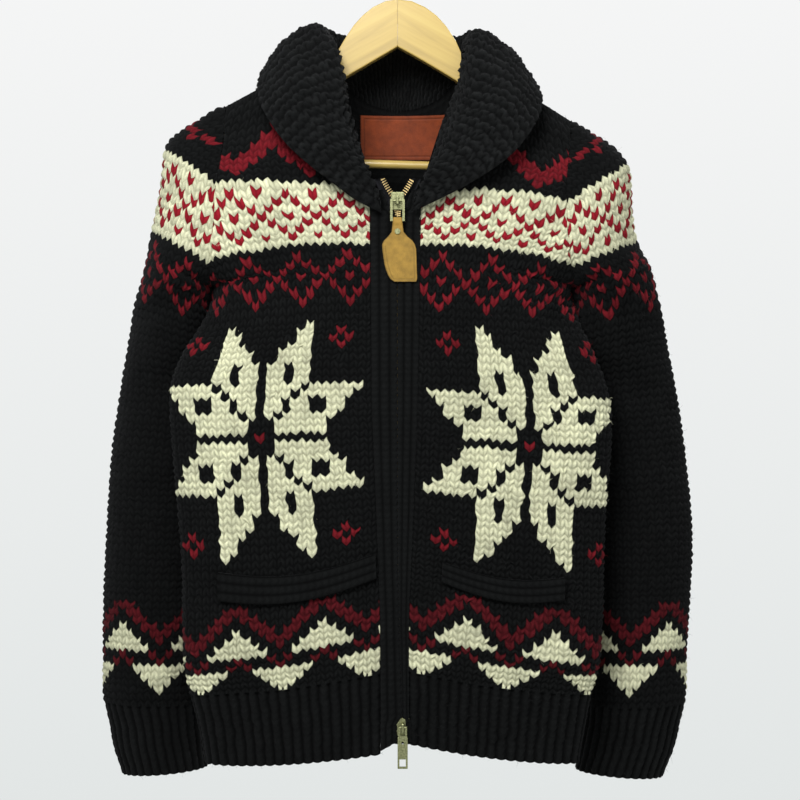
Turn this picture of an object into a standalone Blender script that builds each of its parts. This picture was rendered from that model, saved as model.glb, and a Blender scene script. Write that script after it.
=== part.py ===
"""Zipped Cowichan cardigan, hand-knitted in bulky wool, hanging on a wooden hanger.

Frame: metres, +Z up, the front of the garment faces -Y and +X is to the right as seen
from the front. "left" and "right" are as seen from the front. The origin is the point
inside the top of the hanger's hook, where a rail carries it.

The cloth is one wall of knitting. Its shape is read from short tables of level lines
(one row for each level of knitting, from the hem up) and of sleeve rings.
"""
import math
from collections import namedtuple

import bmesh
import bpy
import numpy as np
from mathutils import Matrix, Vector

# ---------------------------------------------------------------- driving dimensions (mm)
MM = 0.001
CLOTH = 4.5            # thickness of the knitted wall
COLLAR_CLOTH = 5.0     # the garter-stitch collar is a little thicker
BAND_CLOTH = 6.0       # front bands, folded over the zip tape
WELT_CLOTH = 4.5       # pocket welts
SEAM_GAP = 0.6         # clear gap left between two pieces at a seam
LAY_GAP = 0.7          # gap under a piece that lies on another
ROUNDNESS = 2.6        # power of the rounded body section: 2 is an ellipse
NECK_HALF = 66.0       # half width of the back neck
FRONT_COLUMNS = 8      # facets across a front
SIDE_COLUMNS = 6       # facets from a side seam to the back neck
NECK_COLUMNS = 6       # facets across the back neck
SLEEVE_COLUMNS = 20    # facets round a sleeve
RIB_TOP_LEVEL = 2      # level line where the hem rib meets the body
ARMPIT_LEVEL = 12      # level line that passes through the armpit

SLIDER_WIDTH = 12.5
SLIDER_LENGTH = 17.0
CHAIN_HALF = 3.0       # half width of the closed zip chain
CHAIN_DEPTH = 2.6
PIVOT_REACH = 7.0      # pull pivots stand this far in front of the slider plate
TAG_LENGTH = 61.0
WIRE = 3.4             # hook wire diameter
HOOK_RADIUS = 18.0     # inner radius of the hook
BAR_DIAMETER = 8.4     # trouser bar
HANGER_DEPTH = 13.5

# One row for each level line of a front, hem first: the end at the front band (in) and
# the end at the side seam (out). sag drops the middle of the line, tuck draws the back
# half of the ring in behind the sleeve.
Level = namedtuple("Level", "x_in y_in z_in x_out y_out z_out sag tuck")
LEVELS_LEFT = [
    Level(-26, -62, -777, -185, -28, -790, 4, 0.24),
    Level(-26, -64, -739, -191, -31, -756, 4, 0.26),
    Level(-26, -66, -700, -199, -33, -724, 4, 0.28),
    Level(-26, -67, -661, -205, -34, -692, 4, 0.30),
    Level(-26, -68, -622, -206, -34, -650, 4, 0.30),
    Level(-26, -68, -577, -207, -34, -597, 3, 0.31),
    Level(-26, -67, -522, -212, -34, -535, 2, 0.33),
    Level(-26, -66, -470, -217, -34, -477, 1, 0.34),
    Level(-26, -65, -418, -216, -34, -423, 0, 0.34),
    Level(-26, -64, -384, -203, -28, -395, -1, 0.29),
    Level(-26, -63, -361, -191.5, -18, -374, -1, 0.22),
    Level(-26, -62, -342, -184.5, -6, -354, -2, 0.14),
    Level(-26, -62, -326, -181, 4, -334, -2, 0.10),
]
LEVELS_RIGHT = [
    Level(23, -62, -767, 174, -28, -790, 4, 0.24),
    Level(23, -64, -732, 180, -31, -756, 4, 0.26),
    Level(23, -66, -698, 186, -33, -724, 4, 0.28),
    Level(23, -67, -660, 194, -34, -694, 4, 0.30),
    Level(23, -68, -619, 197, -34, -650, 4, 0.30),
    Level(23, -68, -582, 198, -34, -605, 3, 0.31),
    Level(23, -67, -527, 200, -34, -545, 2, 0.33),
    Level(23, -66, -476, 205, -34, -487, 1, 0.34),
    Level(23, -65, -425, 202, -34, -435, 0, 0.34),
    Level(23, -64, -390, 189, -31, -401, -1, 0.30),
    Level(23, -63, -367, 178, -22, -377, -1, 0.22),
    Level(23, -62, -341, 172, -9, -353, -2, 0.14),
    Level(23, -62, -319, 170, 4, -334, -2, 0.10),
]
# Level lines above the armpit end on the armhole; these are their ends at the neck.
Yoke = namedtuple("Yoke", "x_in y_in z_in sag")
YOKE_LEFT = [
    Yoke(-26, -61, -312, -3),
    Yoke(-26, -60, -296, -5),
    Yoke(-26, -58, -277, -5),
    Yoke(-26, -56, -257, -4),
    Yoke(-26, -54, -240, -3),
    Yoke(-34, -46, -203, 0),
    Yoke(-48, -30, -152, 0),
    Yoke(-61, -12, -114, 0),
    Yoke(-66, 0, -99, 0),
]
YOKE_RIGHT = [
    Yoke(23, -61, -308, -3),
    Yoke(23, -60, -297, -5),
    Yoke(23, -58, -279, -6),
    Yoke(23, -56, -262, -7),
    Yoke(23, -54, -245, -7),
    Yoke(33, -46, -205, -3),
    Yoke(50, -30, -155, 0),
    Yoke(64, -12, -119, 0),
    Yoke(66, 0, -103, 0),
]
# Armhole seam, armpit first and shoulder last, with its half depth front to back.
Station = namedtuple("Station", "x z y_mid y_half")
ARMHOLE_LEFT = [
    Station(-181, -334, 4, 0),
    Station(-181, -327, 2, 34),
    Station(-179, -310, 1, 46),
    Station(-177, -285, 0, 51),
    Station(-175, -258, 0, 50),
    Station(-174, -233, 0, 45),
    Station(-170, -211, 0, 37),
    Station(-168, -186, 0, 24),
    Station(-168, -166, 0, 14),
    Station(-168, -154, 0, 0),
]
ARMHOLE_RIGHT = [
    Station(170, -334, 4, 0),
    Station(170, -328, 2, 34),
    Station(167, -315, 1, 46),
    Station(164, -296, 0, 51),
    Station(162, -274, 0, 50),
    Station(162, -251, 0, 45),
    Station(163, -227, 0, 37),
    Station(166, -202, 0, 24),
    Station(168, -180, 0, 14),
    Station(169, -168, 0, 0),
]
# The back at the same level lines: at the neck point column and on the centre line.
Back = namedtuple("Back", "z_neck y_centre z_centre")
BACK_LEVELS = [
    Back(-786, 50, -786),
    Back(-751, 52, -751),
    Back(-716, 53, -716),
    Back(-680, 54, -679),
    Back(-640, 54, -639),
    Back(-590, 53, -589),
    Back(-534, 52, -533),
    Back(-480, 52, -479),
    Back(-427, 52, -426),
    Back(-392, 52, -391),
    Back(-368, 52, -366),
    Back(-347, 51, -346),
    Back(-329, 51, -328),
]
BackYoke = namedtuple("BackYoke", "y_neck z_neck_left z_neck_right y_centre z_centre")
BACK_YOKE = [
    BackYoke(51, -316, -318, 51, -316),
    BackYoke(51, -300, -303, 51, -299),
    BackYoke(51, -277, -282, 51, -275),
    BackYoke(50, -254, -259, 51, -250),
    BackYoke(49, -231, -237, 50, -226),
    BackYoke(43, -198, -203, 49, -201),
    BackYoke(29, -152, -156, 48, -178),
    BackYoke(13, -116, -120, 47, -163),
    BackYoke(0, -99, -103, 46, -152),
]
# Sleeve cap rings: the outer fold, and how far round its ring the seam cuts it.
Cap = namedtuple("Cap", "x_out z_out turn")
CAP_LEFT = [
    Cap(-243, -295, 1.75),
    Cap(-240, -277, 1.42),
    Cap(-234, -249, 1.15),
    Cap(-230, -221, 1.0),
    Cap(-227, -197, 1.0),
    Cap(-213, -180, 1.0),
    Cap(-195, -169, 1.0),
    Cap(-182, -160, 1.0),
]
CAP_RIGHT = [
    Cap(241, -302, 1.75),
    Cap(234, -287, 1.42),
    Cap(229, -259, 1.15),
    Cap(228, -233, 1.0),
    Cap(225, -212, 1.0),
    Cap(206, -191, 1.0),
    Cap(190, -181, 1.0),
    Cap(179, -174, 1.0),
]
# Closed sleeve rings from the armpit down to the cuff's edge.
Ring = namedtuple("Ring", "x_out z_out x_in z_in y_mid half_depth")
SLEEVE_LEFT = [
    Ring(-245, -304, -181, -334, 4, 51),
    Ring(-251, -325, -183, -351, 12, 50),
    Ring(-258, -343, -182, -369, 21, 48),
    Ring(-268, -387, -180, -406, 38, 47),
    Ring(-278, -442, -178, -454, 44, 46),
    Ring(-286, -502, -184, -509, 45, 45),
    Ring(-290, -572, -190, -576, 43, 43),
    Ring(-293, -642, -195, -644, 41, 41),
    Ring(-293, -692, -196, -693, 40, 39),
    Ring(-292, -741, -196, -743, 39, 37),
    Ring(-287, -765, -194, -766, 39, 33),
    Ring(-283, -787, -192, -787, 39, 33),
    Ring(-274, -813, -190, -806, 39, 34),
]
SLEEVE_RIGHT = [
    Ring(246, -310, 170, -334, 4, 51),
    Ring(253, -330, 172, -352, 12, 50),
    Ring(260, -353, 172, -371, 21, 48),
    Ring(269, -392, 170, -409, 38, 47),
    Ring(280, -444, 171, -455, 44, 46),
    Ring(288, -504, 181, -510, 45, 45),
    Ring(294, -575, 188, -578, 43, 43),
    Ring(291, -644, 191, -646, 41, 41),
    Ring(288, -692, 190, -694, 40, 39),
    Ring(286, -743, 189, -745, 39, 37),
    Ring(281, -765, 187, -766, 39, 33),
    Ring(276, -787, 183, -787, 39, 33),
    Ring(264, -816, 178, -809, 39, 34),
]
CUFF_RING = 9          # ring where the cuff rib starts

# Collar stations from the left front end, round the back neck, to the right front end.
# foot is sewn to the neck edge, roll is the fold line, fall is the outer edge.
Collar = namedtuple("Collar", "foot roll fall puff")
COLLAR = [
    Collar((-19, -62, -256), (-16, -70, -252), (-15, -69, -265), 0),
    Collar((-25, -60, -240), (-21, -70, -236), (-38, -71, -254), 2),
    Collar((-31, -56, -220), (-28, -69, -219), (-60, -72, -238), 4),
    Collar((-36, -49, -196), (-36, -64, -200), (-84, -72, -219), 6),
    Collar((-45, -38, -164), (-42, -56, -172), (-107, -66, -197), 8),
    Collar((-54, -24, -132), (-47, -43, -138), (-128, -50, -166), 10),
    Collar((-62, -10, -103), (-57, -24, -103), (-137, -24, -141), 11),
    Collar((-64, 6, -93), (-75, 0, -76), (-134, 10, -123), 12),
    Collar((-60, 23, -108), (-70, 24, -74), (-128, 38, -136), 12),
    Collar((-45, 35, -130), (-53, 40, -78), (-96, 58, -176), 10),
    Collar((-22, 40.8, -146.1), (-27, 47, -80), (-50, 66, -202), 9),
    Collar((0, 41.8, -149.6), (0, 48, -81), (0, 69, -208), 9),
    Collar((22, 40.8, -146.1), (27, 47, -81), (50, 66, -204), 9),
    Collar((45, 35, -132), (53, 40, -80), (98, 58, -180), 10),
    Collar((60, 23, -112), (70, 24, -78), (130, 38, -144), 12),
    Collar((64, 6, -97), (73, 0, -82), (137, 10, -135), 12),
    Collar((65, -10, -107), (66, -24, -109), (141, -24, -151), 11),
    Collar((57, -24, -136), (58, -43, -147), (134, -50, -174), 10),
    Collar((46, -38, -166), (49, -56, -176), (113, -66, -204), 8),
    Collar((36, -49, -196), (40, -64, -205), (86, -72, -226), 6),
    Collar((31, -56, -220), (28, -69, -224), (60, -72, -242), 4),
    Collar((25, -60, -240), (21, -70, -238), (36, -71, -254), 2),
    Collar((19, -62, -254), (16, -70, -252), (14, -69, -264), 0),
]
COLLAR_FACETS = 10     # facets across the collar, foot to outer edge

# Front bands: the height of each section, how far the zip's centre leans to the right
# there, and half the gap between the bands.
Band = namedtuple("Band", "z lean half_gap")
BAND_SEAM_LEFT, BAND_SEAM_RIGHT = -25.7, 22.7
BANDS = [
    Band(-766, 5.0, 8.4),
    Band(-742, 4.8, 8.4),
    Band(-729, 4.4, 8.3),
    Band(-724, 4.2, 1.2),
    Band(-660, 2.0, 1.0),
    Band(-600, 0.6, 1.0),
    Band(-520, 0.0, 1.0),
    Band(-440, 0.0, 1.0),
    Band(-360, 0.0, 1.0),
    Band(-297, 0.0, 1.2),
    Band(-292, 0.0, 8.3),
    Band(-278, 0.0, 8.4),
    Band(-270, 0.0, 8.5),
]
# Zip: the lean of its centre, the meeting edge of each half, the width of its tape and
# the depth of the front faces of the chain and of the tape.
Zip = namedtuple("Zip", "z lean edge tape y_chain y_tape")
ZIP = [
    Zip(-754.3, 4.9, 0.15, 8.3, -60.0, -54.8),
    Zip(-743, 4.8, 0.15, 8.3, -60.0, -55.2),
    Zip(-734, 4.6, 0.15, 8.3, -58.0, -56.4),
    Zip(-724, 4.2, 0.15, 8.3, -57.0, -57.0),
    Zip(-660, 2.0, 0.15, 8.3, -60.4, -60.4),
    Zip(-600, 0.6, 0.15, 8.3, -60.8, -60.8),
    Zip(-520, 0.0, 0.15, 8.3, -60.0, -60.0),
    Zip(-440, 0.0, 0.15, 8.3, -58.6, -58.6),
    Zip(-360, 0.0, 0.15, 8.3, -56.6, -56.6),
    Zip(-297, 0.0, 0.15, 8.3, -54.0, -54.0),
    Zip(-276, 0.0, 0.15, 8.3, -57.0, -51.8),
    Zip(-266, 0.0, 0.15, 7.0, -58.5, -51.5),
    Zip(-255, 0.0, 0.15, 6.0, -58.5, -51.2),
    Zip(-247, 0.0, 3.3, 5.0, -58.5, -51.0),
    Zip(-240, 0.0, 8.0, 4.0, -58.8, -51.4),
    Zip(-231, 0.0, 13.2, 3.0, -59.0, -52.0),
]
# Hanger arms from the mitred centre out to the tip: top edge, underside, and the
# rounding of the top edge.
Arm = namedtuple("Arm", "x z_top z_under ease")
ARM_LEFT = [
    Arm(0.0, -50.4, -97, 1.5),
    Arm(-12, -52.2, -104, 1.5),
    Arm(-24, -58.0, -111, 1.5),
    Arm(-34, -66.0, -117, 1.5),
    Arm(-43, -76.0, -122, 1.5),
    Arm(-51, -88.0, -127, 1.5),
    Arm(-57.5, -99, -131, 1.5),
    Arm(-59.5, -115, -133, 4.0),
    Arm(-68, -117, -137, 6.0),
    Arm(-100, -132, -155, 6.0),
    Arm(-150, -157, -184, 6.0),
    Arm(-172, -169, -214, 6.0),
    Arm(-186, -178, -222, 6.0),
    Arm(-197, -188, -217, 4.0),
]
ARM_RIGHT = [
    Arm(0.0, -50.4, -97, 1.5),
    Arm(14, -52.2, -104.5, 1.5),
    Arm(27, -58.0, -112, 1.5),
    Arm(38, -66.0, -118.5, 1.5),
    Arm(48, -77.0, -124.5, 1.5),
    Arm(57, -91.0, -130, 1.5),
    Arm(62, -102, -134, 1.5),
    Arm(62.5, -128, -137.5, 4.0),
    Arm(73, -129, -142, 6.0),
    Arm(100, -140, -163, 6.0),
    Arm(150, -170, -197, 6.0),
    Arm(170, -182, -224, 6.0),
    Arm(183, -191, -232, 6.0),
    Arm(193, -200, -228, 4.0),
]
BAR_LEFT = (-184.0, 0.0, -206.0)
BAR_RIGHT = (182.0, 0.0, -217.0)

# Zip sliders: the centre of the plate, and which way its chain opens (+1 up, -1 down).
TOP_SLIDER = (0.0, -58.5, -253.0)
BOTTOM_SLIDER = (4.9, -60.0, -752.0)

# Neck label on the inside of the back.
LABEL_LEFT, LABEL_RIGHT = -37.0, 50.0
LABEL_TOP, LABEL_BOTTOM = -158.0, -202.0
LABEL_THICKNESS = 1.8

# Pocket welts, in levels up the front (see LEVELS) and share of its width.
Welt = namedtuple("Welt", "u_in u_out top_ends top_middle drop")
WELT_LEFT = Welt(0.01, 0.76, 4.78, 4.60, 0.52)
WELT_RIGHT = Welt(0.15, 0.74, 4.80, 4.62, 0.52)

MATERIALS = {
    "charcoal_wool": ((0.020, 0.020, 0.026), 0.95, 0.0),
    "collar_wool": ((0.018, 0.018, 0.023), 0.95, 0.0),
    "rib_wool": ((0.024, 0.024, 0.030), 0.95, 0.0),
    "brown_leather": ((0.25, 0.075, 0.035), 0.55, 0.0),
    "tan_leather": ((0.52, 0.32, 0.13), 0.50, 0.0),
    "zip_tape": ((0.03, 0.03, 0.035), 0.85, 0.0),
    "aged_metal": ((0.42, 0.40, 0.34), 0.38, 1.0),
    "hanger_wood": ((0.72, 0.50, 0.24), 0.42, 0.0),
    "hook_steel": ((0.62, 0.62, 0.62), 0.25, 1.0),
}


# ---------------------------------------------------------------- scene helpers
def clear_scene():
    for old in list(bpy.data.objects):
        bpy.data.objects.remove(old, do_unlink=True)


def new_collection(name):
    group = bpy.data.collections.new(name)
    bpy.context.scene.collection.children.link(group)
    return group


def material(name):
    found = bpy.data.materials.get(name)
    if found:
        return found
    colour, roughness, metallic = MATERIALS[name]
    made = bpy.data.materials.new(name)
    made.use_nodes = True
    shader = made.node_tree.nodes["Principled BSDF"]
    shader.inputs["Base Color"].default_value = (*colour, 1.0)
    shader.inputs["Roughness"].default_value = roughness
    shader.inputs["Metallic"].default_value = metallic
    return made


def keep(obj, group, finish):
    """Put an object in a collection, once, with its material."""
    for home in list(obj.users_collection):
        home.objects.unlink(obj)
    group.objects.link(obj)
    obj.data.materials.clear()
    obj.data.materials.append(material(finish))
    return obj


def object_from(name, vertices, faces, group, finish):
    """A mesh object from millimetre points and faces, its faces turned outward."""
    mesh = bpy.data.meshes.new(name)
    mesh.from_pydata([Vector(v) * MM for v in vertices], [], faces)
    work = bmesh.new()
    work.from_mesh(mesh)
    bmesh.ops.recalc_face_normals(work, faces=work.faces)
    if work.calc_volume(signed=True) < 0:
        bmesh.ops.reverse_faces(work, faces=work.faces)
    work.to_mesh(mesh)
    work.free()
    obj = bpy.data.objects.new(name, mesh)
    return keep(obj, group, finish)


def unit(vectors):
    length = np.linalg.norm(vectors, axis=-1, keepdims=True)
    return vectors / np.maximum(length, 1e-9)


def even(points, count):
    """Points of a line, spaced evenly along it; count is the number of gaps."""
    steps = np.linalg.norm(np.diff(points, axis=0), axis=1)
    along = np.concatenate([[0.0], np.cumsum(steps)])
    wanted = np.linspace(0.0, along[-1], count + 1)
    return np.stack([np.interp(wanted, along, points[:, i]) for i in range(3)], axis=1)


def grid_normals(grid, outward):
    """Unit normals of a grid of points, all turned to the side that outward gives."""
    down = np.gradient(grid, axis=0)
    across = np.gradient(grid, axis=1)
    normals = unit(np.cross(down, across))
    facing = np.sum(normals * outward, axis=-1).mean()
    return normals if facing > 0 else -normals


# ---------------------------------------------------------------- cloth walls
def pull_in(grid, edge, distance):
    """Move one edge row or column of a grid towards its neighbour."""
    rows = {"first": (0, 1), "last": (-1, -2)}
    if edge in rows:
        here, beside = rows[edge]
        step = unit(grid[beside] - grid[here])
        grid[here] = grid[here] + step * distance
        return
    here, beside = {"start": (0, 1), "end": (-1, -2)}[edge]
    step = unit(grid[:, beside] - grid[:, here])
    grid[:, here] = grid[:, here] + step * distance


def cloth_wall(name, outer, normals, thickness, group, finish, seams=()):
    """A closed wall from a grid of points on its outer face and their normals.

    Points that fall together, as on a closed ring, become one. seams names the edges
    that stand back from a neighbour: first, last (rows), start, end (columns).
    """
    inner = outer - normals * thickness
    outer = outer.copy()
    for edge in seams:
        pull_in(outer, edge, SEAM_GAP / 2)
        pull_in(inner, edge, SEAM_GAP / 2)
    rows, columns = outer.shape[:2]
    ids = np.zeros((rows, columns), dtype=int)
    seen, points_out, points_in = {}, [], []
    for r in range(rows):
        for c in range(columns):
            key = tuple(np.round(outer[r, c], 3))
            if key not in seen:
                seen[key] = len(points_out)
                points_out.append(outer[r, c])
                points_in.append(inner[r, c])
            ids[r, c] = seen[key]
    faces = []
    for r in range(rows - 1):
        for c in range(columns - 1):
            corner = [ids[r, c], ids[r, c + 1], ids[r + 1, c + 1], ids[r + 1, c]]
            loop = [v for i, v in enumerate(corner) if v != corner[i - 1]]
            if len(set(loop)) == len(loop) and len(loop) >= 3:
                faces.append(loop)
    count = len(points_out)
    edge_use = {}
    for face in faces:
        for a, b in zip(face, face[1:] + face[:1]):
            edge_use[(a, b)] = edge_use.get((a, b), 0) + 1
    rim = [[b, a, a + count, b + count] for (a, b) in edge_use if (b, a) not in edge_use]
    inside = [[v + count for v in reversed(face)] for face in faces]
    return object_from(name, points_out + points_in, faces + inside + rim, group, finish)


# ---------------------------------------------------------------- body
def front_line(level, end=None):
    """One level line of a front, from its band to its side seam or armhole."""
    share = np.linspace(0.0, 1.0, 60)
    if end is None:
        power = 2.0 / ROUNDNESS
        start = math.asin((level.x_in / level.x_out) ** (1.0 / power))
        angle = start + (math.pi / 2 - start) * share
        x = level.x_out * np.sin(angle) ** power
        y = level.y_out + (level.y_in - level.y_out) * np.abs(np.cos(angle)) ** power
        z_out = level.z_out
    else:
        x = level.x_in + (end.x - level.x_in) * share
        y_end = end.y_mid - end.y_half
        y = level.y_in + (y_end - level.y_in) * share ** ROUNDNESS
        z_out = end.z
    plan = even(np.stack([x, y, np.zeros_like(x)], axis=1), 59)
    line = plan.copy()
    drop = level.sag * 4.0 * share * (1.0 - share)
    line[:, 2] = level.z_in + (z_out - level.z_in) * share - drop
    return line


def front_grid(levels, yoke, armhole):
    lines = [front_line(level) for level in levels]
    lines += [front_line(level, end) for level, end in zip(yoke, armhole[1:])]
    return np.stack([even(line, FRONT_COLUMNS) for line in lines])


def back_side_line(level, back, side):
    """The part of a lower level line from a side seam to the neck column."""
    power = 2.0 / ROUNDNESS
    angle = np.linspace(math.pi / 2, math.pi, 400)
    c = np.abs(np.cos(angle)) ** power
    x = abs(level.x_out) * np.sin(angle) ** power * (1.0 - level.tuck * c)
    y = level.y_out + (back.y_centre - level.y_out) * c
    kept = x >= NECK_HALF
    plan = np.stack([side * x[kept], y[kept], np.zeros(kept.sum())], axis=1)
    plan[-1, 0] = side * NECK_HALF
    line = even(plan, SIDE_COLUMNS)
    share = np.linspace(0.0, 1.0, SIDE_COLUMNS + 1)
    line[:, 2] = level.z_out + (back.z_neck - level.z_out) * share
    return line


def back_yoke_line(end, yoke, z_neck, side):
    """The part of an upper level line from the armhole to the neck column."""
    share = np.linspace(0.0, 1.0, 60)
    y_start = end.y_mid + end.y_half
    x = end.x + (side * NECK_HALF - end.x) * share
    y = y_start + (yoke.y_neck - y_start) * (1.0 - (1.0 - share) ** ROUNDNESS)
    z = end.z + (z_neck - end.z) * share
    return even(np.stack([x, y, z], axis=1), SIDE_COLUMNS)


def neck_line(left, right, y_centre, z_centre):
    """The middle of a back level line, between the two neck columns."""
    angle = np.linspace(0.0, math.pi, NECK_COLUMNS + 1)
    share = (1.0 - np.cos(angle)) / 2.0
    base = left + (right - left) * share[:, None]
    middle = (left + right) / 2.0
    rise = np.sin(angle)[:, None] * (np.array([0.0, y_centre, z_centre]) - middle)
    rise[:, 0] = 0.0
    return base + rise


def back_grid():
    rows = []
    for left, right, back in zip(LEVELS_LEFT, LEVELS_RIGHT, BACK_LEVELS):
        one = back_side_line(left, back, -1.0)
        two = back_side_line(right, back, 1.0)
        middle = neck_line(one[-1], two[-1], back.y_centre, back.z_centre)
        rows.append(np.concatenate([one, middle[1:-1], two[::-1]]))
    for end_l, end_r, yoke in zip(ARMHOLE_LEFT[1:], ARMHOLE_RIGHT[1:], BACK_YOKE):
        one = back_yoke_line(end_l, yoke, yoke.z_neck_left, -1.0)
        two = back_yoke_line(end_r, yoke, yoke.z_neck_right, 1.0)
        middle = neck_line(one[-1], two[-1], yoke.y_centre, yoke.z_centre)
        rows.append(np.concatenate([one, middle[1:-1], two[::-1]]))
    return np.stack(rows)


def armhole_normals(armhole, towards, lean):
    """Outward directions round an armhole: away from the middle of its loop.

    lean turns them sideways at the armpit, where body and sleeve fold apart.
    """
    middle = np.array([0.0, (armhole[0].z + armhole[-1].z) / 2.0])
    directions = []
    for station in armhole:
        y = station.y_mid + towards * station.y_half
        away = np.array([0.0, y - middle[0], station.z - middle[1]])
        directions.append(away)
    directions = unit(np.array(directions))
    directions[0, 0] = lean
    directions[1, 0] = lean * 0.4
    return unit(directions)


def body_grids():
    """Grids and normals of the two fronts and the back, equal where they meet."""
    left = front_grid(LEVELS_LEFT, YOKE_LEFT, ARMHOLE_LEFT)
    right = front_grid(LEVELS_RIGHT, YOKE_RIGHT, ARMHOLE_RIGHT)
    back = back_grid()
    ahead, behind = np.array([0.0, -1.0, 0.0]), np.array([0.0, 1.0, 0.0])
    n_left, n_right = grid_normals(left, ahead), grid_normals(right, ahead)
    n_back = grid_normals(back, behind)
    low = slice(0, ARMPIT_LEVEL)
    for fronts, edge in ((n_left, 0), (n_right, -1)):
        shared = unit(fronts[low, -1] + n_back[low, edge])
        fronts[low, -1] = shared
        n_back[low, edge] = shared
    up = np.array([0.0, 0.0, 1.0])
    for fronts in (n_left, n_right):
        fronts[-1] = up
    n_back[-1, :SIDE_COLUMNS + 1] = up
    n_back[-1, -SIDE_COLUMNS - 1:] = up
    for fronts, edge, armhole in ((n_left, 0, ARMHOLE_LEFT), (n_right, -1, ARMHOLE_RIGHT)):
        lean = 1.8 * np.sign(armhole[0].x)
        fronts[ARMPIT_LEVEL:, -1] = armhole_normals(armhole, -1.0, lean)
        n_back[ARMPIT_LEVEL:, edge] = armhole_normals(armhole, 1.0, lean)
    return {"left": (left, n_left), "right": (right, n_right), "back": (back, n_back)}


def make_body(grids, group):
    cut = RIB_TOP_LEVEL
    for side in ("left", "right"):
        grid, normals = grids[side]
        cloth_wall(f"front_{side}", grid[cut:], normals[cut:], CLOTH, group,
                   "charcoal_wool", ("first", "last", "start", "end"))
        cloth_wall(f"hem_rib_{side}", grid[:cut + 1], normals[:cut + 1], CLOTH, group,
                   "rib_wool", ("last", "start", "end"))
    grid, normals = grids["back"]
    cloth_wall("back", grid[cut:], normals[cut:], CLOTH, group, "charcoal_wool",
               ("first", "last", "start", "end"))
    cloth_wall("hem_rib_back", grid[:cut + 1], normals[:cut + 1], CLOTH, group,
               "rib_wool", ("last", "start", "end"))


# ---------------------------------------------------------------- sleeves
def sleeve_ring(outer, inner, y_mid, half_depth, turn):
    """Points round a sleeve: from the front seam over the outer fold to the back seam."""
    share = np.linspace(0.0, 1.0, 80)
    around = 1.0 - np.cos(share * math.acos(1.0 - turn))
    depth = half_depth * np.sqrt(np.maximum(0.0, 1.0 - (1.0 - around) ** 2))
    chord = np.outer(around / turn, np.array(inner) - np.array(outer)) + np.array(outer)
    back = np.stack([chord[:, 0], y_mid + depth, chord[:, 1]], axis=1)
    front = np.stack([chord[:, 0], y_mid - depth, chord[:, 1]], axis=1)
    return even(np.concatenate([front[::-1], back[1:]]), SLEEVE_COLUMNS)


def sleeve_grid(armhole, cap, rings):
    """All rings of a sleeve, from the shoulder point to the cuff's edge."""
    top = armhole[-1]
    rows = [np.tile([top.x, top.y_mid, top.z], (SLEEVE_COLUMNS + 1, 1)).astype(float)]
    for station, ring in zip(armhole[-2:0:-1], cap[::-1]):
        reach = math.sqrt(max(0.0, 1.0 - (1.0 - ring.turn) ** 2))
        rows.append(sleeve_ring((ring.x_out, ring.z_out), (station.x, station.z),
                                station.y_mid, station.y_half / reach, ring.turn))
    for ring in rings:
        rows.append(sleeve_ring((ring.x_out, ring.z_out), (ring.x_in, ring.z_in),
                                ring.y_mid, ring.half_depth, 2.0))
    return np.stack(rows)


def sleeve_normals(grid, armhole):
    centre = grid.mean(axis=1, keepdims=True)
    normals = grid_normals(grid, np.zeros(3))
    outward = np.sum(normals * (grid - centre), axis=-1)
    normals = normals * np.where(outward[:, :1 + SLEEVE_COLUMNS // 2].mean() < 0, -1.0, 1.0)
    last_cap = len(armhole) - 1
    joined = unit(normals[last_cap:, 0] + normals[last_cap:, -1])
    normals[last_cap:, 0] = joined
    normals[last_cap:, -1] = joined
    lean = -1.8 * np.sign(armhole[0].x)
    normals[:last_cap + 1, 0] = armhole_normals(armhole, -1.0, lean)[::-1]
    normals[:last_cap + 1, -1] = armhole_normals(armhole, 1.0, lean)[::-1]
    normals[0] = np.array([0.0, 0.0, 1.0])
    return normals


def make_sleeve(side, armhole, cap, rings, group):
    grid = sleeve_grid(armhole, cap, rings)
    normals = sleeve_normals(grid, armhole)
    last_cap = len(armhole) - 1
    body_side = grid.copy()
    inner = body_side - normals * CLOTH
    away = np.array([-1.0 if side == "left" else 1.0, 0.0, 0.0])
    for layer in (body_side, inner):
        layer[0] += away * SEAM_GAP
        layer[1:last_cap, 0] += away * SEAM_GAP
        layer[1:last_cap, -1] += away * SEAM_GAP
        layer[last_cap, [0, -1]] += away * SEAM_GAP
    spread = unit(body_side - inner)
    cut = last_cap + CUFF_RING
    cloth_wall(f"sleeve_{side}", body_side[:cut + 1], spread[:cut + 1], CLOTH, group,
               "charcoal_wool", ("last",))
    cloth_wall(f"cuff_{side}", body_side[cut:], spread[cut:], CLOTH, group,
               "rib_wool", ("first",))


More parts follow.
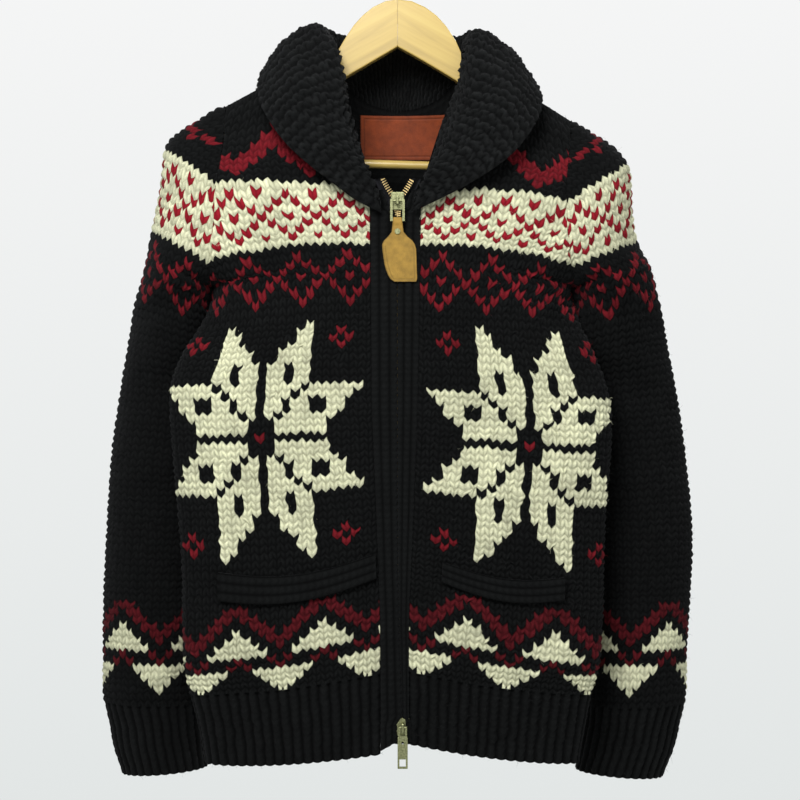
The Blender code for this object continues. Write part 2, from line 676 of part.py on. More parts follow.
# ---------------------------------------------------------------- collar and bands
def collar_line(station):
    """Foot, up the stand, over the roll and down the fall, as one smooth line."""
    foot, roll, fall = (np.array(p, dtype=float) for p in station[:3])
    out = unit(np.array([roll[0], roll[1], 0.0]) + np.array([fall[0], fall[1], 0.0]))
    crest = unit(out + np.array([0.0, 0.0, 1.2]))
    stand = (foot + roll) / 2.0 - out * station.puff * 0.15
    middle = (roll + fall) / 2.0 + crest * station.puff
    knots = np.stack([foot, stand, roll, middle, fall])
    gaps = np.linalg.norm(np.diff(knots, axis=0), axis=1)
    along = np.concatenate([[0.0], np.cumsum(gaps)])
    slopes = np.gradient(knots, along, axis=0)
    wanted = np.linspace(0.0, along[-1], 120)
    place = np.clip(np.searchsorted(along, wanted, side="right") - 1, 0, len(knots) - 2)
    width = (along[place + 1] - along[place])[:, None]
    t = (wanted - along[place])[:, None] / width
    a, b = knots[place], knots[place + 1]
    ma, mb = slopes[place] * width, slopes[place + 1] * width
    line = ((2 * t ** 3 - 3 * t ** 2 + 1) * a + (t ** 3 - 2 * t ** 2 + t) * ma
            + (3 * t ** 2 - 2 * t ** 3) * b + (t ** 3 - t ** 2) * mb)
    return even(line, COLLAR_FACETS)


def make_collar(group):
    grid = np.stack([collar_line(station) for station in COLLAR])
    normals = grid_normals(grid, np.zeros(3))
    middle = len(COLLAR) // 2
    if normals[middle, -2, 1] < 0:
        normals = -normals
    cloth_wall("collar", grid, normals, COLLAR_CLOTH, group, "collar_wool")


def front_depth(z, levels, yoke):
    """Depth of a front's edge beside its band, at height z."""
    rows = list(levels) + list(yoke)
    heights = [row.z_in for row in rows]
    return float(np.interp(z, heights, [row.y_in for row in rows]))


def make_band(side, group):
    """A front band: a flat tube of ribbing, its front a little crowned."""
    levels, yoke = (LEVELS_LEFT, YOKE_LEFT) if side == "left" else (LEVELS_RIGHT, YOKE_RIGHT)
    sign, seam = (-1.0, BAND_SEAM_LEFT) if side == "left" else (1.0, BAND_SEAM_RIGHT)
    rings = []
    for band in BANDS:
        zip_x = band.lean + sign * band.half_gap
        y = front_depth(band.z, levels, yoke)
        quarter = (zip_x - seam) / 4.0
        ring = [(seam, y), (seam + quarter, y - 1.6), (seam + 2 * quarter, y - 2.0),
                (seam + 3 * quarter, y - 1.6), (zip_x, y + 0.6),
                (zip_x, y + BAND_CLOTH - 0.8), (seam, y + CLOTH)]
        rings.append([(px, py, band.z) for px, py in ring])
    return loft(f"front_band_{side}", rings, group, "rib_wool")


def loft(name, rings, group, finish):
    """A closed solid through rings of equal point count, with flat ends."""
    size = len(rings[0])
    points = [point for ring in rings for point in ring]
    faces = [list(range(size)), [len(points) - size + i for i in range(size)][::-1]]
    for r in range(len(rings) - 1):
        for i in range(size):
            j = (i + 1) % size
            faces.append([r * size + i, r * size + j, (r + 1) * size + j, (r + 1) * size + i])
    return object_from(name, points, faces, group, finish)


# ---------------------------------------------------------------- pieces on a panel
def on_panel(grid, level, share):
    """A point of a panel's grid at a fraction of a level and a share of its width."""
    row = min(int(level), grid.shape[0] - 2)
    column = min(int(share * (grid.shape[1] - 1)), grid.shape[1] - 2)
    a = level - row
    b = share * (grid.shape[1] - 1) - column
    low = grid[row, column] * (1 - b) + grid[row, column + 1] * b
    high = grid[row + 1, column] * (1 - b) + grid[row + 1, column + 1] * b
    return low * (1 - a) + high * a


def make_welt(side, welt, grids, group):
    """A pocket welt: a sagging band of ribbing that lies on the front."""
    grid, normals = grids[side]
    inner = [k / FRONT_COLUMNS for k in range(1, FRONT_COLUMNS)
             if welt.u_in + 0.03 < k / FRONT_COLUMNS < welt.u_out - 0.03]
    across = [welt.u_in, *inner, welt.u_out]
    face, spread = [], []
    for down in (0.0, 0.5, 1.0):
        line, ways = [], []
        for u in across:
            share = (u - welt.u_in) / (welt.u_out - welt.u_in)
            sag = (welt.top_ends - welt.top_middle) * math.sin(math.pi * share)
            level = welt.top_ends - sag - welt.drop * down
            way = unit(on_panel(normals, level, u))
            line.append(on_panel(grid, level, u) + way * (LAY_GAP + WELT_CLOTH))
            ways.append(way)
        face.append(line)
        spread.append(ways)
    cloth_wall(f"pocket_welt_{side}", np.array(face), np.array(spread), WELT_CLOTH, group,
               "rib_wool")


def make_label(grids, group):
    """The leather patch sewn inside the back neck."""
    grid, normals = grids["back"]
    inside = grid - normals * (CLOTH + LAY_GAP + 0.2)
    rows = []
    for z in np.linspace(LABEL_TOP, LABEL_BOTTOM, 3):
        line = []
        for x in np.linspace(LABEL_LEFT, LABEL_RIGHT, 5):
            line.append(back_point(inside, x, z))
        rows.append(line)
    face = np.array(rows)
    return cloth_wall("neck_label", face, grid_normals(face, np.array([0.0, 1.0, 0.0])),
                      LABEL_THICKNESS, group, "brown_leather")


def back_point(surface, x, z):
    """The point of the back's surface at x and z, from its nearest rows."""
    crossing = []
    for row in surface:
        order = np.argsort(row[:, 0])
        y = np.interp(x, row[order, 0], row[order, 1])
        height = np.interp(x, row[order, 0], row[order, 2])
        crossing.append((height, y))
    crossing.sort()
    y = np.interp(z, [c[0] for c in crossing], [c[1] for c in crossing])
    return np.array([x, y, z])


# ---------------------------------------------------------------- zip
def make_zip_half(side, group):
    """Half a zip: its chain along the front edge, and the tape behind the band."""
    sign = -1.0 if side == "left" else 1.0
    rings = []
    for row in ZIP:
        edge, outer = row.edge, row.edge + CHAIN_HALF
        front, back = row.y_chain, row.y_chain + CHAIN_DEPTH
        step, hem = outer + 3.2, outer + 3.2 + row.tape
        ring = [(edge, front), (outer, front), (outer, front + 0.7), (step, front + 0.7),
                (step + 1.5, row.y_tape + 1.2), (hem, row.y_tape + 1.2),
                (hem, row.y_tape + 2.4), (step + 0.7, row.y_tape + 2.4),
                (step - 0.8, front + 1.9), (outer, front + 1.9), (outer, back), (edge, back)]
        rings.append([(row.lean + sign * px, py, row.z) for px, py in ring])
    return loft(f"zip_half_{side}", rings, group, "zip_tape")


def block(name, size, centre, group, finish, bevel=0.0):
    """A box from its full size and centre, in millimetres, with softened edges."""
    bpy.ops.mesh.primitive_cube_add(size=1.0)
    box = bpy.context.active_object
    box.name = name
    box.data.name = name
    box.data.transform(Matrix.Translation(Vector(centre) * MM)
                       @ Matrix.Diagonal((*(Vector(size) * MM), 1.0)))
    if bevel:
        add_bevel(box, bevel)
    return keep(box, group, finish)


def add_bevel(obj, width, segments=2):
    edge = obj.modifiers.new("soft_edges", "BEVEL")
    edge.width = width * MM
    edge.segments = segments
    edge.limit_method = "ANGLE"


def rod(name, start, end, radius, group, finish, sides=24):
    """A cylinder between two points."""
    a, b = Vector(start) * MM, Vector(end) * MM
    bpy.ops.mesh.primitive_cylinder_add(vertices=sides, radius=radius * MM,
                                        depth=(b - a).length)
    made = bpy.context.active_object
    made.name = name
    made.data.name = name
    turn = (b - a).to_track_quat("Z", "Y").to_matrix().to_4x4()
    made.data.transform(Matrix.Translation((a + b) / 2) @ turn)
    return keep(made, group, finish)


def combine(target, tools, operation):
    """Join tools to a target, or cut them from it; the tools become hidden cutters."""
    for tool in tools:
        tool.hide_render = True
        tool.display_type = "WIRE"
        step = target.modifiers.new(operation.lower(), "BOOLEAN")
        step.operation = operation
        step.solver = "EXACT"
        step.object = tool
    return target


def make_slider(name, centre, opens, parts, cutters):
    """A zip slider: front plate, back plate, the post that splits the chain, the eye."""
    x, y_chain, z = centre
    front = y_chain - SEAM_GAP - 1.1
    behind = y_chain + CHAIN_DEPTH + SEAM_GAP + 0.8
    plate = block(name, (SLIDER_WIDTH, 2.2, SLIDER_LENGTH), (x, front, z), parts,
                  "aged_metal", 0.6)
    back = block(f"{name}_back_plate", (SLIDER_WIDTH - 2.0, 1.6, SLIDER_LENGTH - 3.0),
                 (x, behind, z), cutters, "aged_metal")
    post = block(f"{name}_post", (3.2, behind - front, 3.4),
                 (x, (front + behind) / 2, z + opens * (SLIDER_LENGTH / 2 - 3.4)), cutters,
                 "aged_metal")
    pivot_y = front - PIVOT_REACH + 1.1
    eye = block(f"{name}_eye", (3.0, PIVOT_REACH + 1.6, 8.4),
                (x, pivot_y + (PIVOT_REACH + 1.6) / 2 - 2.7, z), cutters, "aged_metal", 1.2)
    combine(plate, [back, post, eye], "UNION")
    hole = rod(f"{name}_hole", (x - 4, pivot_y, z), (x + 4, pivot_y, z), 1.75, cutters,
               "aged_metal", 20)
    combine(plate, [hole], "DIFFERENCE")
    return plate, Vector((x, pivot_y, z))


def make_frame(name, pivot, top, bottom, width, parts, cutters, wire=2.2):
    """A pull's metal frame: a cross bar in the eye, two sides and a foot."""
    x, y, z = pivot
    half = width / 2
    frame = rod(name, (x - half, y, z), (x + half, y, z), 1.2, parts, "aged_metal", 16)
    height = top - bottom
    tools = [
        block(f"{name}_side_{i}", (wire, wire, height), (x + i * half, y, (top + bottom) / 2),
              cutters, "aged_metal")
        for i in (-1, 1)
    ]
    tools.append(block(f"{name}_foot", (width + wire, wire, wire),
                       (x, y, bottom + wire / 2), cutters, "aged_metal"))
    combine(frame, tools, "UNION")
    return frame


def set_pivot(obj, pivot):
    """Give an object an empty on its joint axis as its parent, without moving it."""
    hinge = bpy.data.objects.new(f"{obj.name}_hinge", None)
    bpy.context.scene.collection.objects.link(hinge)
    hinge.location = pivot * MM
    return hinge


def hang_on(hinge, pieces):
    for piece in pieces:
        piece.parent = hinge
        piece.matrix_parent_inverse = Matrix.Translation(-hinge.location)


def make_tag(pivot, parts, cutters):
    """The leather tag on the top pull: a tongue folded round the frame's foot.

    Each row is a distance down, the reach to the left and right, and half the thickness.
    """
    x, y, z = pivot
    top = z - 15.9
    rows = [(0.0, 3.9, 3.9, 1.4), (0.9, 4.3, 4.3, 2.4), (5.0, 4.6, 4.7, 2.4),
            (8.0, 4.8, 5.0, 1.5), (14.0, 5.6, 5.8, 1.5), (18.5, 9.0, 9.6, 1.5),
            (22.0, 12.7, 14.0, 1.5), (25.6, 14.5, 16.4, 1.5), (30.0, 14.4, 17.6, 1.5),
            (37.5, 13.4, 18.0, 1.5), (44.0, 12.4, 18.1, 1.5), (50.0, 10.8, 18.3, 1.5),
            (55.5, 8.6, 18.6, 1.5), (58.5, 6.6, 18.6, 1.5), (TAG_LENGTH, 3.0, 17.6, 1.5)]
    rings = [[(x - left, y - t, top - d), (x + right, y - t, top - d),
              (x + right, y + t, top - d), (x - left, y + t, top - d)]
             for d, left, right, t in rows]
    tag = loft("pull_tag", rings, parts, "tan_leather")
    half = rows[-1][3]
    rivet_z = top - 13.5
    hole = rod("pull_tag_hole", (x, y - 4, rivet_z), (x, y + 4, rivet_z), 1.7, cutters,
               "tan_leather", 20)
    fold = block("pull_tag_fold", (12.0, 2.9, 2.9), (x, y, z - 18.5), cutters, "tan_leather")
    combine(tag, [fold, hole], "DIFFERENCE")
    rivet = rod("pull_rivet", (x, y - half - 0.8, rivet_z), (x, y + half + 0.8, rivet_z), 1.4,
                parts, "aged_metal", 20)
    heads = [rod(f"pull_rivet_head_{i}", (x, y + i * (half + 0.3), rivet_z),
                 (x, y + i * (half + 1.2), rivet_z), 2.7, cutters, "aged_metal", 20)
             for i in (-1, 1)]
    combine(rivet, heads, "UNION")
    return tag, rivet


def make_tab(pivot, parts, cutters):
    """The bottom pull: a flat metal tab with a window, on a small wire frame."""
    x, y, z = pivot
    frame = make_frame("pull_tab", pivot, z + 1.1, z - 9.6, 6.4, parts, cutters, 1.8)
    plate = block("pull_tab_plate", (9.6, 1.8, 30.0), (x, y, z - 24.0), cutters, "aged_metal",
                  0.5)
    window = block("pull_tab_window", (6.0, 6.0, 7.0), (x, y, z - 33.5), cutters,
                   "aged_metal")
    eyelet = rod("pull_tab_eyelet", (x, y - 4, z - 14.5), (x, y + 4, z - 14.5), 1.3, cutters,
                 "aged_metal", 16)
    combine(frame, [plate], "UNION")
    combine(frame, [window, eyelet], "DIFFERENCE")
    return frame


def make_zip(parts, cutters):
    for side in ("left", "right"):
        make_zip_half(side, parts)
    top, top_pivot = make_slider("zip_slider_top", TOP_SLIDER, 1, parts, cutters)
    frame = make_frame("pull_frame", top_pivot, top_pivot.z + 1.1, top_pivot.z - 19.6,
                       11.5, parts, cutters)
    tag, rivet = make_tag(top_pivot, parts, cutters)
    hang_on(set_pivot(frame, top_pivot), [frame, tag, rivet])
    bottom, low_pivot = make_slider("zip_slider_bottom", BOTTOM_SLIDER, -1, parts, cutters)
    tab = make_tab(low_pivot, parts, cutters)
    hang_on(set_pivot(tab, low_pivot), [tab])


# ---------------------------------------------------------------- hanger
def make_arm(side, rows, group, cutters):
    """A hanger arm: a bent board with rounded edges, mitred at the centre."""
    sign = -1.0 if side == "left" else 1.0
    rings = []
    for index, row in enumerate(rows):
        x = row.x if index else sign * SEAM_GAP / 2
        depth = HANGER_DEPTH if index < len(rows) - 1 else HANGER_DEPTH - 4.0
        section = rounded_section(depth / 2, row.z_top, row.z_under, row.ease)
        rings.append([(x, y, z) for y, z in section])
    arm = loft(f"hanger_{side}", rings, group, "hanger_wood")
    bar_end = Vector(BAR_LEFT) if side == "left" else Vector(BAR_RIGHT)
    far_end = Vector(BAR_RIGHT) if side == "left" else Vector(BAR_LEFT)
    along = (far_end - bar_end).normalized()
    socket = rod(f"hanger_{side}_socket", bar_end - along * 0.3, bar_end + along * 30.0,
                 BAR_DIAMETER / 2 + 0.3, cutters, "hanger_wood", 24)
    stem = rod(f"hanger_{side}_bore", (0, 0, -75), (0, 0, -40), WIRE / 2 + 0.3, cutters,
               "hanger_wood", 24)
    combine(arm, [socket, stem], "DIFFERENCE")
    return arm


def rounded_section(half, top, under, ease):
    """The (y, z) outline of a board whose edges are eased by a radius."""
    outline = []
    low = min(ease, 3.0)
    corners = ((1, top, 1, min(ease, half - 0.3)), (-1, top, 1, min(ease, half - 0.3)),
               (-1, under, -1, low), (1, under, -1, low))
    for quarter, (y_sign, z_edge, z_sign, corner) in enumerate(corners):
        for degrees in (0, 30, 60, 90):
            angle = math.radians(90 * quarter + degrees)
            y = y_sign * (half - corner) + corner * math.cos(angle)
            z = z_edge - z_sign * corner + corner * math.sin(angle)
            outline.append((y, z))
    return outline


def make_hook(group):
    """The steel hook: a stem, a swing to one side and a rounded crook."""
    radius = HOOK_RADIUS + WIRE / 2
    centre_z = -HOOK_RADIUS
    route = [(0.0, 0.0, -73.0), (0.0, 0.0, -62.0), (0.0, 0.0, -49.0)]
    route += [(1.5, 0.0, -44.5), (5.5, 0.0, -40.5)]
    for degrees in range(-62, 206, 12):
        angle = math.radians(degrees)
        route.append((radius * math.cos(angle), 0.0, centre_z + radius * math.sin(angle)))
    curve = bpy.data.curves.new("hanger_hook", "CURVE")
    curve.dimensions = "3D"
    curve.bevel_depth = WIRE / 2 * MM
    curve.bevel_resolution = 2
    curve.use_fill_caps = True
    line = curve.splines.new("POLY")
    line.points.add(len(route) - 1)
    for point, place in zip(line.points, route):
        point.co = (*(Vector(place) * MM), 1.0)
    hook = bpy.data.objects.new("hanger_hook", curve)
    group.objects.link(hook)
    curve.materials.append(material("hook_steel"))
    return hook


def make_hanger(parts, cutters):
    make_arm("left", ARM_LEFT, parts, cutters)
    make_arm("right", ARM_RIGHT, parts, cutters)
    rod("hanger_bar", BAR_LEFT, BAR_RIGHT, BAR_DIAMETER / 2, parts, "hanger_wood", 24)
    make_hook(parts)


# ---------------------------------------------------------------- build
def main():
    clear_scene()
    parts = new_collection("cowichan_cardigan_on_hanger")
    cutters = new_collection("cutters")
    grids = body_grids()
    make_body(grids, parts)
    make_sleeve("left", ARMHOLE_LEFT, CAP_LEFT, SLEEVE_LEFT, parts)
    make_sleeve("right", ARMHOLE_RIGHT, CAP_RIGHT, SLEEVE_RIGHT, parts)
    make_collar(parts)
    for side in ("left", "right"):
        make_band(side, parts)
    make_welt("left", WELT_LEFT, grids, parts)
    make_welt("right", WELT_RIGHT, grids, parts)
    make_label(grids, parts)
    make_zip(parts, cutters)
    make_hanger(parts, cutters)


main()
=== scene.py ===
# %% [markdown]
# # A hand-knitted cardigan on its hanger
# This notebook dresses a plain CAD model of a thick zipped cardigan in real-looking yarn.
# The CAD model gives the sizes and the moving parts. Here each knitted panel is built
# again as a thin shell with every stitch raised on it, because at this scale the stitches
# are what the eye reads as wool.

# %% Start
import math
from collections import namedtuple

import bpy
import numpy as np
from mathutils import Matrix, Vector


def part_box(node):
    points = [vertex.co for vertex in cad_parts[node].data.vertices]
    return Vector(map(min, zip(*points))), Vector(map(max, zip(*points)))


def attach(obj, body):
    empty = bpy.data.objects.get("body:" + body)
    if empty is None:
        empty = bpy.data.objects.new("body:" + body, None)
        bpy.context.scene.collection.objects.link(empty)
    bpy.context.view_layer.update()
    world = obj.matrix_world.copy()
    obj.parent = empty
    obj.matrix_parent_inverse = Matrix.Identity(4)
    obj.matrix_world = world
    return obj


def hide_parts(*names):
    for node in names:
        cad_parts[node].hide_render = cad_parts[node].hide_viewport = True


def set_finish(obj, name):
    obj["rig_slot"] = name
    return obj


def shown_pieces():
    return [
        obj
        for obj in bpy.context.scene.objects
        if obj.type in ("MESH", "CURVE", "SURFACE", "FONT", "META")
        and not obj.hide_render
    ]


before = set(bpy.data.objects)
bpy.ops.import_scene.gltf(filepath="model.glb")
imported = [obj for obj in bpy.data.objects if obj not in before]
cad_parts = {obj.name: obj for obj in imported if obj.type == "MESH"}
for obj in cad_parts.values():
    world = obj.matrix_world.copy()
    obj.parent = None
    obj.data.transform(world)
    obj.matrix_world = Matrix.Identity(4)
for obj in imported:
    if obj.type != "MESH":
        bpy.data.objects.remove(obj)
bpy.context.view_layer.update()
MM = 0.001
rng = np.random.default_rng(7)

# %% [markdown]
# ## The panels' measurements
# A knitter works from counts of rows and stitches, so the tables below are read by row.
# Each line gives the height and depth of one row of knitting at its two ends. The shape
# between two lines is filled in smoothly, so a few lines are enough for a whole panel.

# %% Level lines
# One row for each level line of a front, hem first: the end at the front band (in) and
# the end at the side seam (out). sag drops the middle of the line, tuck draws the back
# half of the ring in behind the sleeve.
Level = namedtuple("Level", "x_in y_in z_in x_out y_out z_out sag tuck")
LEVELS_LEFT = [
    Level(-26, -62, -777, -185, -28, -790, 4, 0.24),
    Level(-26, -64, -739, -191, -31, -756, 4, 0.26),
    Level(-26, -66, -700, -199, -33, -724, 4, 0.28),
    Level(-26, -67, -661, -205, -34, -692, 4, 0.30),
    Level(-26, -68, -622, -206, -34, -650, 4, 0.30),
    Level(-26, -68, -577, -207, -34, -597, 3, 0.31),
    Level(-26, -67, -522, -212, -34, -535, 2, 0.33),
    Level(-26, -66, -470, -217, -34, -477, 1, 0.34),
    Level(-26, -65, -418, -216, -34, -423, 0, 0.34),
    Level(-26, -64, -384, -203, -28, -395, -1, 0.29),
    Level(-26, -63, -361, -191.5, -18, -374, -1, 0.22),
    Level(-26, -62, -342, -184.5, -6, -354, -2, 0.14),
    Level(-26, -62, -326, -181, 4, -334, -2, 0.10),
]
LEVELS_RIGHT = [
    Level(23, -62, -767, 174, -28, -790, 4, 0.24),
    Level(23, -64, -732, 180, -31, -756, 4, 0.26),
    Level(23, -66, -698, 186, -33, -724, 4, 0.28),
    Level(23, -67, -660, 194, -34, -694, 4, 0.30),
    Level(23, -68, -619, 197, -34, -650, 4, 0.30),
    Level(23, -68, -582, 198, -34, -605, 3, 0.31),
    Level(23, -67, -527, 200, -34, -545, 2, 0.33),
    Level(23, -66, -476, 205, -34, -487, 1, 0.34),
    Level(23, -65, -425, 202, -34, -435, 0, 0.34),
    Level(23, -64, -390, 189, -31, -401, -1, 0.30),
    Level(23, -63, -367, 178, -22, -377, -1, 0.22),
    Level(23, -62, -341, 172, -9, -353, -2, 0.14),
    Level(23, -62, -319, 170, 4, -334, -2, 0.10),
]
print("level lines below the armpit:", len(LEVELS_LEFT))

# %% [markdown]
# ### Above the armpit
# From the armpit up, a row of knitting ends on the armhole seam, where the sleeve is sewn
# in. So the two ends of these rows stand in two tables: one along the front edge and the
# neck, and one along the armhole, which is a tall narrow loop seen from the side.

# %% Neck and armholes
Yoke = namedtuple("Yoke", "x_in y_in z_in sag")
YOKE_LEFT = [
    Yoke(-26, -61, -312, -3),
    Yoke(-26, -60, -296, -5),
    Yoke(-26, -58, -277, -5),
    Yoke(-26, -56, -257, -4),
    Yoke(-26, -54, -240, -3),
    Yoke(-34, -46, -203, 0),
    Yoke(-48, -30, -152, 0),
    Yoke(-61, -12, -114, 0),
    Yoke(-66, 0, -99, 0),
]
YOKE_RIGHT = [
    Yoke(23, -61, -308, -3),
    Yoke(23, -60, -297, -5),
    Yoke(23, -58, -279, -6),
    Yoke(23, -56, -262, -7),
    Yoke(23, -54, -245, -7),
    Yoke(33, -46, -205, -3),
    Yoke(50, -30, -155, 0),
    Yoke(64, -12, -119, 0),
    Yoke(66, 0, -103, 0),
]
# Armhole seam, armpit first and shoulder last, with its half depth front to back.
Station = namedtuple("Station", "x z y_mid y_half")
ARMHOLE_LEFT = [
    Station(-181, -334, 4, 0),
    Station(-181, -327, 2, 34),
    Station(-179, -310, 1, 46),
    Station(-177, -285, 0, 51),
    Station(-175, -258, 0, 50),
    Station(-174, -233, 0, 45),
    Station(-170, -211, 0, 37),
    Station(-168, -186, 0, 24),
    Station(-168, -166, 0, 14),
    Station(-168, -154, 0, 0),
]
ARMHOLE_RIGHT = [
    Station(170, -334, 4, 0),
    Station(170, -328, 2, 34),
    Station(167, -315, 1, 46),
    Station(164, -296, 0, 51),
    Station(162, -274, 0, 50),
    Station(162, -251, 0, 45),
    Station(163, -227, 0, 37),
    Station(166, -202, 0, 24),
    Station(168, -180, 0, 14),
    Station(169, -168, 0, 0),
]
print("armhole height:", ARMHOLE_LEFT[-1].z - ARMHOLE_LEFT[0].z, "mm")

# %% [markdown]
# ### The back
# A back hangs nearly flat between the shoulder blades, so two places in each row are
# enough: straight below the side of the neck, and on the centre line.

# %% Back lines
Back = namedtuple("Back", "z_neck y_centre z_centre")
BACK_LEVELS = [
    Back(-786, 50, -786),
    Back(-751, 52, -751),
    Back(-716, 53, -716),
    Back(-680, 54, -679),
    Back(-640, 54, -639),
    Back(-590, 53, -589),
    Back(-534, 52, -533),
    Back(-480, 52, -479),
    Back(-427, 52, -426),
    Back(-392, 52, -391),
    Back(-368, 52, -366),
    Back(-347, 51, -346),
    Back(-329, 51, -328),
]
BackYoke = namedtuple("BackYoke", "y_neck z_neck_left z_neck_right y_centre z_centre")
BACK_YOKE = [
    BackYoke(51, -316, -318, 51, -316),
    BackYoke(51, -300, -303, 51, -299),
    BackYoke(51, -277, -282, 51, -275),
    BackYoke(50, -254, -259, 51, -250),
    BackYoke(49, -231, -237, 50, -226),
    BackYoke(43, -198, -203, 49, -201),
    BackYoke(29, -152, -156, 48, -178),
    BackYoke(13, -116, -120, 47, -163),
    BackYoke(0, -99, -103, 46, -152),
]
print("back lines:", len(BACK_LEVELS) + len(BACK_YOKE))

# %% [markdown]
# ### The sleeves
# A sleeve is a tube, so each of its measurements is a ring, given by its outer and inner
# folds and its depth. The cap above the armpit has open rings that end on the armhole.

# %% Sleeve rings
# Cap rings: the outer fold, and how far round its ring the seam cuts it.
Cap = namedtuple("Cap", "x_out z_out turn")
CAP_LEFT = [
    Cap(-243, -295, 1.75),
    Cap(-240, -277, 1.42),
    Cap(-234, -249, 1.15),
    Cap(-230, -221, 1.0),
    Cap(-227, -197, 1.0),
    Cap(-213, -180, 1.0),
    Cap(-195, -169, 1.0),
    Cap(-182, -160, 1.0),
]
CAP_RIGHT = [
    Cap(241, -302, 1.75),
    Cap(234, -287, 1.42),
    Cap(229, -259, 1.15),
    Cap(228, -233, 1.0),
    Cap(225, -212, 1.0),
    Cap(206, -191, 1.0),
    Cap(190, -181, 1.0),
    Cap(179, -174, 1.0),
]
# Closed sleeve rings from the armpit down to the cuff's edge.
Ring = namedtuple("Ring", "x_out z_out x_in z_in y_mid half_depth")
SLEEVE_LEFT = [
    Ring(-245, -304, -181, -334, 4, 51),
    Ring(-251, -325, -183, -351, 12, 50),
    Ring(-258, -343, -182, -369, 21, 48),
    Ring(-268, -387, -180, -406, 38, 47),
    Ring(-278, -442, -178, -454, 44, 46),
    Ring(-286, -502, -184, -509, 45, 45),
    Ring(-290, -572, -190, -576, 43, 43),
    Ring(-293, -642, -195, -644, 41, 41),
    Ring(-293, -692, -196, -693, 40, 39),
    Ring(-292, -741, -196, -743, 39, 37),
    Ring(-287, -765, -194, -766, 39, 33),
    Ring(-283, -787, -192, -787, 39, 33),
    Ring(-274, -813, -190, -806, 39, 34),
]
SLEEVE_RIGHT = [
    Ring(246, -310, 170, -334, 4, 51),
    Ring(253, -330, 172, -352, 12, 50),
    Ring(260, -353, 172, -371, 21, 48),
    Ring(269, -392, 170, -409, 38, 47),
    Ring(280, -444, 171, -455, 44, 46),
    Ring(288, -504, 181, -510, 45, 45),
    Ring(294, -575, 188, -578, 43, 43),
    Ring(291, -644, 191, -646, 41, 41),
    Ring(288, -692, 190, -694, 40, 39),
    Ring(286, -743, 189, -745, 39, 37),
    Ring(281, -765, 187, -766, 39, 33),
    Ring(276, -787, 183, -787, 39, 33),
    Ring(264, -816, 178, -809, 39, 34),
]

print("sleeve length:", SLEEVE_LEFT[0].z_out - SLEEVE_LEFT[-1].z_out, "mm below the armpit")

# %% [markdown]
# ### Counting rows
# The patterns are knitted by row number, so every measured line needs the row that it
# stands for. A row of this thick yarn is about seven millimetres tall.

# %% Row numbers
# The row of each level line, hem to shoulder.
ROWS_LEFT = [0, 5.75, 11.5, 17.5, 23.5, 30.5, 39, 47, 55, 60, 63.5, 66, 68.1,
             70.2, 72.6, 76, 79.3, 82, 86, 90, 92.6, 94]
ROWS_RIGHT = [0, 5.75, 11.5, 17.5, 23.5, 30.5, 39, 47, 55, 60, 63.5, 67, 69.7,
              71.0, 72.6, 76, 79.3, 82, 86, 90, 92.6, 94]
# The same for the sleeve rings, shoulder point first and cuff edge last.
ROWS_SLEEVE = [91.5, 89.8, 88, 85.2, 82, 79.4, 76.3, 73, 71, 69.8, 67.3, 65, 59.1, 51.7,
               43.4, 33.5, 23.6, 16.4, 9.3, 6.2, 3.1, 0]
BODY_ROWS, HEM_ROWS = (11.3, 94), (0, 11.7)
SLEEVE_ROWS, CUFF_ROWS = (9.1, 91.4), (0, 9.5)
ROUNDNESS = 2.6        # how square the body's ring is; 2 is an ellipse
NECK_HALF = 66.0       # half the width of the neck
CLOTH = 4.5            # thickness of the knitting
print("levels:", len(ROWS_LEFT), "sleeve rings:", len(ROWS_SLEEVE))

# %% [markdown]
# ## Smooth surfaces
# Cloth is smooth between the lines that were measured. `smooth` draws a curve through
# them: a Hermite curve, which passes through every line. `even` spreads points along a
# line at equal steps, as stitches are.

# %% Curves
def unit(vectors):
    length = np.linalg.norm(vectors, axis=-1, keepdims=True)
    return vectors / np.maximum(length, 1e-9)


def even(points, count):
    """Points of a line spaced evenly along it; count is the number of gaps."""
    steps = np.linalg.norm(np.diff(points, axis=0), axis=1)
    along = np.concatenate([[0.0], np.cumsum(steps)])
    wanted = np.linspace(0.0, along[-1], count + 1)
    return np.stack([np.interp(wanted, along, points[:, i]) for i in range(3)], axis=1)


def smooth(knots, values, wanted):
    """Hermite curve through values at rising knots, read at the wanted places."""
    knots, values = np.asarray(knots, float), np.asarray(values, float)
    slopes = np.gradient(values, knots, axis=0)
    place = np.clip(np.searchsorted(knots, wanted, side="right") - 1, 0, len(knots) - 2)
    width = knots[place + 1] - knots[place]
    t = (wanted - knots[place]) / width
    shape = (-1,) + (1,) * (values.ndim - 1)
    t, width = t.reshape(shape), width.reshape(shape)
    a, b = values[place], values[place + 1]
    ma, mb = slopes[place] * width, slopes[place + 1] * width
    return ((2 * t**3 - 3 * t**2 + 1) * a + (t**3 - 2 * t**2 + t) * ma
            + (3 * t**2 - 2 * t**3) * b + (t**3 - t**2) * mb)


print("middle of a curve:", smooth([0, 1, 2], [0.0, 1.0, 0.0], np.array([0.5])))

# %% [markdown]
# ### A panel to look up
# `Surface` turns the measured lines into a lookup: give it a row and a share of the width,
# and it gives a point and the direction straight out of the cloth. It also carries the
# folds, because a fold moves cloth along that same direction.

